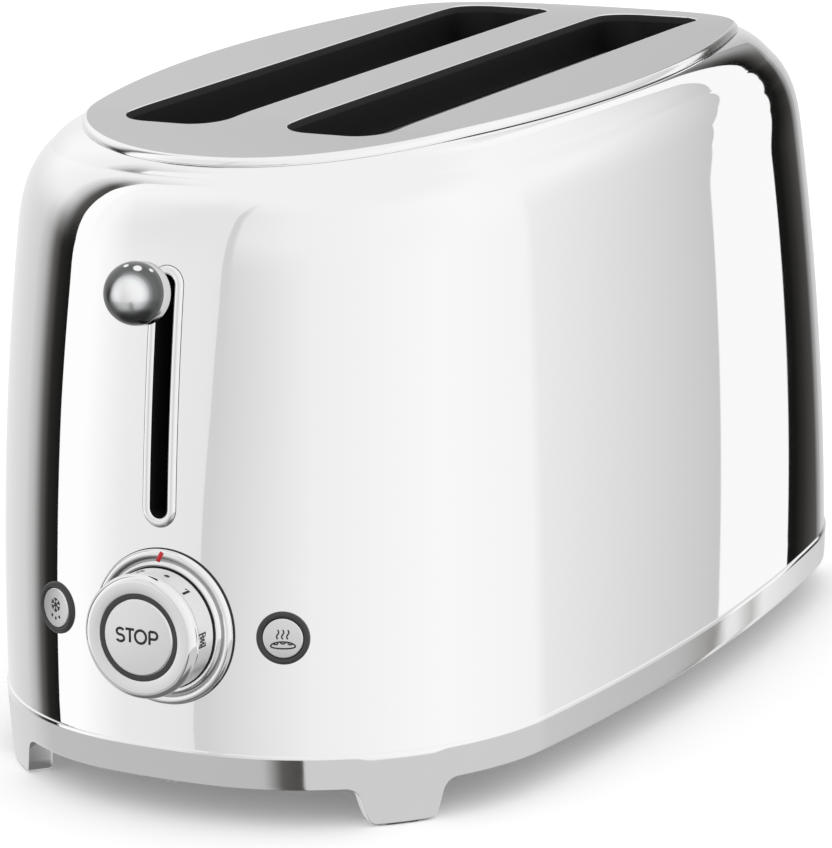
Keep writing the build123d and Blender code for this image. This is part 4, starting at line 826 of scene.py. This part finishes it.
# Plain sans letters drawn as strokes, about 4.2 mm high
S_LINE = arc(-6.35, 1.08, 1.35, 1.1, 25, 270, 20) + arc(-6.35, -1.12, 1.45, 1.12, 88, -155, 20)
T_LINES = [[(-4.35, 2.2), (-1.05, 2.2)], [(-2.7, 2.2), (-2.7, -2.25)]]
O_LINE = arc(1.35, 0.0, 2.1, 2.2, 0, 360, 40)
P_LINES = [[(4.75, -2.25), (4.75, 2.2)], [(4.75, 2.2), (6.3, 2.2)] + arc(6.4, 0.95, 1.3, 1.25, 90, -90, 16)
           + [(4.75, -0.3)]]
word = [[(0.95 * a - 0.3, 0.95 * b + 0.4) for a, b in line] for line in [S_LINE, O_LINE] + T_LINES + P_LINES]
stop_word = strokes_piece("stop_letters", on_plane(DIAL, KNOB_H, word), 0.43, 0.07, INK, "stop")


def on_skirt(theta, lines, height=8.8):
    """Strokes on the dial's skirt with their tops toward the shell."""
    placed = []
    for line in lines:
        points = []
        for x, y in line:
            t = math.radians(theta) - 1.2 * x / SKIRT_R
            points.append(DIAL.at(SKIRT_R * math.cos(t), SKIRT_R * math.sin(t), height - y * 1.2))
        t = math.radians(theta)
        placed.append((points, (DIAL.across * math.cos(t) + DIAL.up * math.sin(t))))
    return placed


DIGITS = {
    1: [[(-0.9, 0.9), (0.1, 1.7), (0.1, -1.7)]],
    2: [arc(0, 0.75, 1.0, 0.95, 170, -30, 14) + [(-1.05, -1.7), (1.1, -1.7)]],
    3: [arc(0, 0.85, 0.95, 0.85, 150, -80, 12) + arc(0, -0.85, 1.05, 0.88, 80, -150, 12)],
    4: [[(0.5, -1.7), (0.5, 1.7), (-1.1, -0.7), (1.1, -0.7)]],
    5: [[(1.0, 1.7), (-0.8, 1.7), (-0.9, 0.2)] + arc(0, -0.55, 1.1, 1.15, 125, -150, 14)],
    6: [[(0.7, 1.7)] + arc(0, -0.6, 1.05, 1.1, 150, 510, 28)],
}
skirt = on_skirt(73.0, [arc(0, 0, 0.42, 0.42, 0, 360, 16)], 7.8)
for number, lines in DIGITS.items():
    angle = 48.0 if number == 1 else 102.0 + 27.0 * (number - 2)
    skirt += on_skirt(angle, lines)
slices = [[(-1.7, -1.6), (-1.7, 1.7), (1.7, 1.7), (1.7, -1.6), (-1.7, -1.6)]]
slices += [[(x, -1.1), (x + 0.3, -0.5), (x - 0.2, 0.3), (x + 0.2, 1.1)] for x in (-0.9, 0.0, 0.9)]
skirt += on_skirt(0.0, slices, 9.9)
skirt_marks = strokes_piece("skirt_marks", skirt, 0.45, 0.1, INK, "dial")

pads = []
for sx, sy in ((1, -1), (-1, -1), (1, 1), (-1, 1)):
    cx, cy = corner_centre(BAND)
    out = Vector((sx * math.cos(FOOT_ANGLE), sy * math.sin(FOOT_ANGLE), 0))
    middle = Vector((sx * cx, sy * cy, 0)) + out * (BAND[4] - FOOT_DEPTH / 2 - 0.6)
    side = Vector((-out.y, out.x, 0))
    loop = [(qx * 4.4 + a, qy * 2.4 + b) for k, (qx, qy) in enumerate(((1, 1), (-1, 1), (-1, -1), (1, -1)))
            for a, b in arc(0, 0, 1.4, 1.4, 90 * k, 90 * k + 90, 6)]
    pads.append([[place(*(middle + side * a * s + out * b * s + Vector((0, 0, z)))) for a, b in loop]
                 for z, s in ((1.2, 1.0), (0.4, 1.0), (0.1, 0.97), (0.0, 0.9))])
verts, faces = [], []
for loops in pads:
    count = len(loops[0])
    faces += ring_faces(4, count, len(verts))
    faces += [tuple(range(len(verts) + k * count, len(verts) + (k + 1) * count)) for k in (0, 3)]
    verts += [v for loop in loops for v in loop]
pad_piece = outward(make("pad_skin", verts, faces, [RUBBER], "housing"))
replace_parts(edges_between_flats(pad_piece), "foot_pads")

HIDDEN = [trim, bezel, pointer, knob, ring, cap, stop_word, skirt_marks]
for plane, name in ((DEFROST, "defrost"), (REHEAT, "reheat")):
    section = [(2.3, -11.0), (7.3, -11.0), (7.3, -1.5), (8.5, -1.2), (8.5, 0.4)]
    section += arc(7.5, 0.4, 1.0, 1.0, 0, 180, 12) + [(6.5, -9.5), (2.3, -9.5)]
    outer = turned(f"{name}_ring_skin", plane, section, [BLACK], "housing")
    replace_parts(edges_between_flats(outer), f"{name}_ring")
    section = rounded([(0.0, -17.0), (2.0, -17.0), (2.0, -7.4), (6.35, -7.4), (6.35, 1.1), (0.0, 1.1)], 0.4)
    button = turned(f"{name}_cap", plane, section, [BUTTON_CAP], name)
    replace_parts(edges_between_flats(button), f"{name}_button")
    HIDDEN += [outer, button]

flake = []
for k in range(6):
    t = math.radians(90 + 60 * k)
    c, s = math.cos(t), math.sin(t)
    flake.append([(0.0, 1.0), (2.4 * c, 1.0 + 2.4 * s)])
    for sign in (-1, 1):
        tip = (2.1 * c - sign * 0.75 * s, 1.0 + 2.1 * s + sign * 0.75 * c)
        flake.append([(1.35 * c, 1.0 + 1.35 * s), tip])
flake += [arc(x, y, 0.22, 0.32, 0, 360, 12) for x, y in ((-1.85, -2.7), (0.0, -3.4), (1.85, -2.7))]
steam = []
for x in (-1.6, 0.0, 1.6):
    steam.append([(x + 0.35 * math.sin(2 * math.pi * i / 16), 2.8 - 3.0 * i / 16) for i in range(17)])
bun = arc(0, -2.5, 3.9, 1.45, 180, 0, 24) + arc(0, -2.5, 3.9, 0.75, 0, -180, 24)
steam.append(bun)
steam += [arc(x, -1.45 if x else -1.2, 0.75, 0.5, 180, 360, 8) for x in (-2.3, 0.0, 2.3)]
for plane, name, lines, width in ((DEFROST, "defrost", flake, 0.27), (REHEAT, "reheat", steam, 0.24)):
    drawn = on_plane(plane, 1.1, lines)
    HIDDEN.append(strokes_piece(f"{name}_icon", drawn, width, 0.06, INK, name))

BALL_R, STANDOFF, BARREL = 10.0, 13.7, 4.8
ball = [(0.0, STANDOFF), (BALL_R - 0.8, STANDOFF), (BALL_R - 0.25, STANDOFF + 0.2), (BALL_R, STANDOFF + 0.8),
        (BALL_R, STANDOFF + BARREL - 0.35), (BALL_R - 0.25, STANDOFF + BARREL - 0.2),
        (BALL_R, STANDOFF + BARREL)]
ball += arc(0.0, STANDOFF + BARREL, BALL_R, BALL_R, 2, 90, 28)
lever_ball = turned("lever_ball", Lever, ball, [BARREL_STEEL, ball_steel()], "lever", (6, 99))
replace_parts(edges_between_flats(lever_ball, 30.0), "lever_knob")
HIDDEN += [lever_ball, frame["nodes"]["lever_arm"]]

# The photograph's steel shows none of the small front pieces, so they stay out of its reflections
for piece in HIDDEN:
    piece.visible_glossy = False


FOCAL, AZIMUTH, ELEVATION, ROLL = 4374.87, math.radians(28.03), math.radians(14.33), math.radians(-1.29)
AIM_X, AIM_Y, DISTANCE = -8.23, 82.1, 1553.27
IMAGE_HEIGHT, SENSOR = 848, 36.0
back = Vector((math.sin(AZIMUTH) * math.cos(ELEVATION), -math.cos(AZIMUTH) * math.cos(ELEVATION),
               math.sin(ELEVATION)))
level = Vector((math.cos(AZIMUTH), math.sin(AZIMUTH), 0))
rise = back.cross(level)
right = math.cos(ROLL) * level + math.sin(ROLL) * rise
upward = -math.sin(ROLL) * level + math.cos(ROLL) * rise
camera_data = bpy.data.cameras.new("camera")
camera_data.sensor_fit = "VERTICAL"
camera_data.sensor_height = SENSOR
camera_data.lens = FOCAL / IMAGE_HEIGHT * SENSOR
camera = bpy.data.objects.new("camera", camera_data)
bpy.context.scene.collection.objects.link(camera)
spot = place(*(right * AIM_X + upward * AIM_Y + back * DISTANCE))
camera.matrix_world = Matrix(((right.x, upward.x, back.x, spot.x), (right.y, upward.y, back.y, spot.y),
                              (right.z, upward.z, back.z, spot.z), (0, 0, 0, 1)))
bpy.context.scene.camera = camera

FLOOR_GLOW, DIFFUSE_LEVEL = 0.12, 1.05
floor_material = bpy.data.materials.new("floor")
floor_material.use_nodes = True
tree = floor_material.node_tree
shader = tree.nodes["Principled BSDF"]
shader.inputs["Base Color"].default_value = (1.0, 1.0, 1.0, 1.0)
shader.inputs["Roughness"].default_value = 0.9
shader.inputs["Specular IOR Level"].default_value = 0.0
paths = add(tree, "ShaderNodeLightPath")
seen = add(tree, "ShaderNodeMath", [(0, paths.outputs["Is Camera Ray"]), (1, FLOOR_GLOW)],
           operation="MULTIPLY")
glow = add(tree, "ShaderNodeEmission", [("Strength", seen.outputs[0])])
both = add(tree, "ShaderNodeAddShader", [(0, shader.outputs[0]), (1, glow.outputs[0])])
tree.links.new(both.outputs[0], tree.nodes["Material Output"].inputs["Surface"])
floor_corners = [(-6, -6, 0), (6, -6, 0), (6, 6, 0), (-6, 6, 0)]
floor = make("floor", floor_corners, [(0, 1, 2, 3)], [floor_material], None)
floor.visible_glossy = False

# What the steel reflects: grey levels by direction, in degrees from -Y towards +X, low down, higher up and
# for the band. They were tuned against greys read from the photograph, and only glossy rays see them.
WARM = (1.0, 0.97, 0.93)
LOW_STOPS = ((-180, 190), (-150, 245), (-100, 210), (-92, 180), (-86, 95), (-81, 40), (-72, 20), (-68, 255),
             (-58, 255), (-36, 235), (-23, 230), (-20, 210), (24, 240), (80, 250), (130, 245), (156, 200),
             (164, 20), (168, 25), (171, 80), (177, 160))
HIGH_STOPS = ((-180, 245), (-120, 250), (-92, 240), (-84, 195), (-78, 85), (-72, 65), (-68, 250), (-58, 250),
              (-40, 230), (-20, 230), (10, 240), (100, 250), (180, 245))
BAND_STOPS = ((-180, 205), (-130, 220), (-100, 210), (-84, 190), (2, 185), (10, 90), (21, 65), (23, 205),
              (134, 205), (154, 185), (159, 135), (163, 135), (164, 240), (172, 210))
# How far the flags' edges turn with elevation, left and right, as measured on the photograph's steel
LEFT_LEAN = ((-17, -3), (-11, -1), (-5.5, 0.5), (-0.7, 2.6), (5, 3.9), (14, 4.1), (26, 3.4), (34, 2.4),
             (42, 0.6), (55, 0))
RIGHT_LEAN = ((-17, 1), (-1, 1), (6, 2.7), (11.5, 7), (15, 11), (18, 14), (23, 19))
# Soft boxes with a hard edge: from, to, how soft the far side is, and their grey
BODY_BOXES = ((-73.0, -66.0, 4.0, 255), (-22.5, -20.0, 3.0, 210), (156.0, 166.0, 0.1, 250))
# The world splits by elevation: the band gets greys of its own below a line that rises by these amounts
BAND_RISES = ((140, 180, 2.6), (-115, -145, 1.35), (-155, -165, 2.6))
BAND_BOXES = ((19.4, 26.0, 3.0, 205), (159.0, 160.5, 4.0, 236))
LEAN_SCALE = 20.0

world = bpy.data.worlds.new("studio")
bpy.context.scene.world = world
world.use_nodes = True
tree = world.node_tree
tree.nodes.clear()
coords = add(tree, "ShaderNodeTexCoord")
axes = add(tree, "ShaderNodeSeparateXYZ", [(0, coords.outputs["Generated"])])


def maths(operation, *values):
    """Result of a maths node."""
    return add(tree, "ShaderNodeMath", list(enumerate(values)), operation=operation).outputs[0]


def smooth(value, low, high):
    """Smooth step between two angles in degrees."""
    return add(tree, "ShaderNodeMapRange", [("Value", value), ("From Min", low), ("From Max", high)],
               interpolation_type="SMOOTHSTEP").outputs["Result"]


def wrapped(turn):
    """The same direction in degrees between -180 and 180."""
    return maths("SUBTRACT", maths("WRAP", maths("ADD", turn, 180.0), 360.0, 0.0), 180.0)


def around_ramp(turn, stops):
    """Greys around the object at a turn in degrees."""
    unit = maths("MULTIPLY_ADD", turn, 1 / 360, 0.5)
    levels = [(angle, grey(v, WARM if v < 150 else (1, 1, 1))) for angle, v in stops]
    return ramp(tree, unit, [((angle + 180) / 360, level) for angle, level in levels])


def with_boxes(turn, colour, boxes):
    """The colours with hard-edged soft boxes laid over them."""
    for start, stop, soft, value in boxes:
        inside = maths("MULTIPLY", smooth(turn, start - 0.06, start + 0.06), smooth(turn, stop + soft, stop))
        colour = mixed(tree, inside, colour, grey(value))
    return colour


def lean_curve(stops):
    """Turn in degrees at each elevation, from (elevation, turn) stops."""
    greys = [((el + 40) / 120, (*[by / LEAN_SCALE / 2 + 0.5] * 3, 1.0)) for el, by in stops]
    value = ramp(tree, maths("MULTIPLY_ADD", tilt, 1 / 120, 1 / 3), greys)
    level = add(tree, "ShaderNodeSeparateColor", [(0, value)]).outputs[0]
    return maths("MULTIPLY_ADD", level, 2 * LEAN_SCALE, -LEAN_SCALE)


azimuth = maths("DEGREES", maths("ARCTAN2", axes.outputs["X"], maths("MULTIPLY", axes.outputs["Y"], -1.0)))
tilt = maths("DEGREES", maths("ARCSINE", axes.outputs["Z"]))
far_side = smooth(maths("ABSOLUTE", azimuth), 130, 150)
near_lean = maths("MULTIPLY", lean_curve(LEFT_LEAN), smooth(azimuth, 25, -5))
lean = maths("ADD", maths("MULTIPLY", near_lean, maths("SUBTRACT", 1.0, far_side)),
             maths("MULTIPLY", lean_curve(RIGHT_LEAN), far_side))
turn = wrapped(maths("SUBTRACT", azimuth, lean))
climb = maths("SUBTRACT", tilt, maths("MULTIPLY", far_side, 16.0))
body = mixed(tree, smooth(climb, 0, 24), around_ramp(turn, LOW_STOPS), around_ramp(turn, HIGH_STOPS))
body = with_boxes(turn, body, BODY_BOXES)
upper = mixed(tree, smooth(tilt, 42, 62), body, grey(243))
band_glow = with_boxes(azimuth, around_ramp(azimuth, BAND_STOPS), BAND_BOXES)
rises = [add(tree, "ShaderNodeMapRange", [("Value", azimuth), ("From Min", start), ("From Max", stop),
             ("To Max", by)]).outputs["Result"] for start, stop, by in BAND_RISES]
band_edge = maths("SUBTRACT", tilt, maths("MAXIMUM", rises[0], maths("MAXIMUM", rises[1], rises[2])))
lower = mixed(tree, smooth(band_edge, -19.0, -18.7), band_glow, upper)
studio = mixed(tree, smooth(tilt, -56, -40), grey(110), lower)
paths = add(tree, "ShaderNodeLightPath")
seen = maths("MAXIMUM", paths.outputs["Is Camera Ray"], paths.outputs["Is Transmission Ray"])
plain = mixed(tree, seen, (DIFFUSE_LEVEL,) * 3 + (1.0,), (1.0, 1.0, 1.0, 1.0))
colour = mixed(tree, paths.outputs["Is Glossy Ray"], plain, studio)
emit = add(tree, "ShaderNodeBackground", [("Color", colour), ("Strength", 1.0)])
out = add(tree, "ShaderNodeOutputWorld")
tree.links.new(emit.outputs[0], out.inputs["Surface"])

bpy.context.scene.view_settings.view_transform = "Standard"
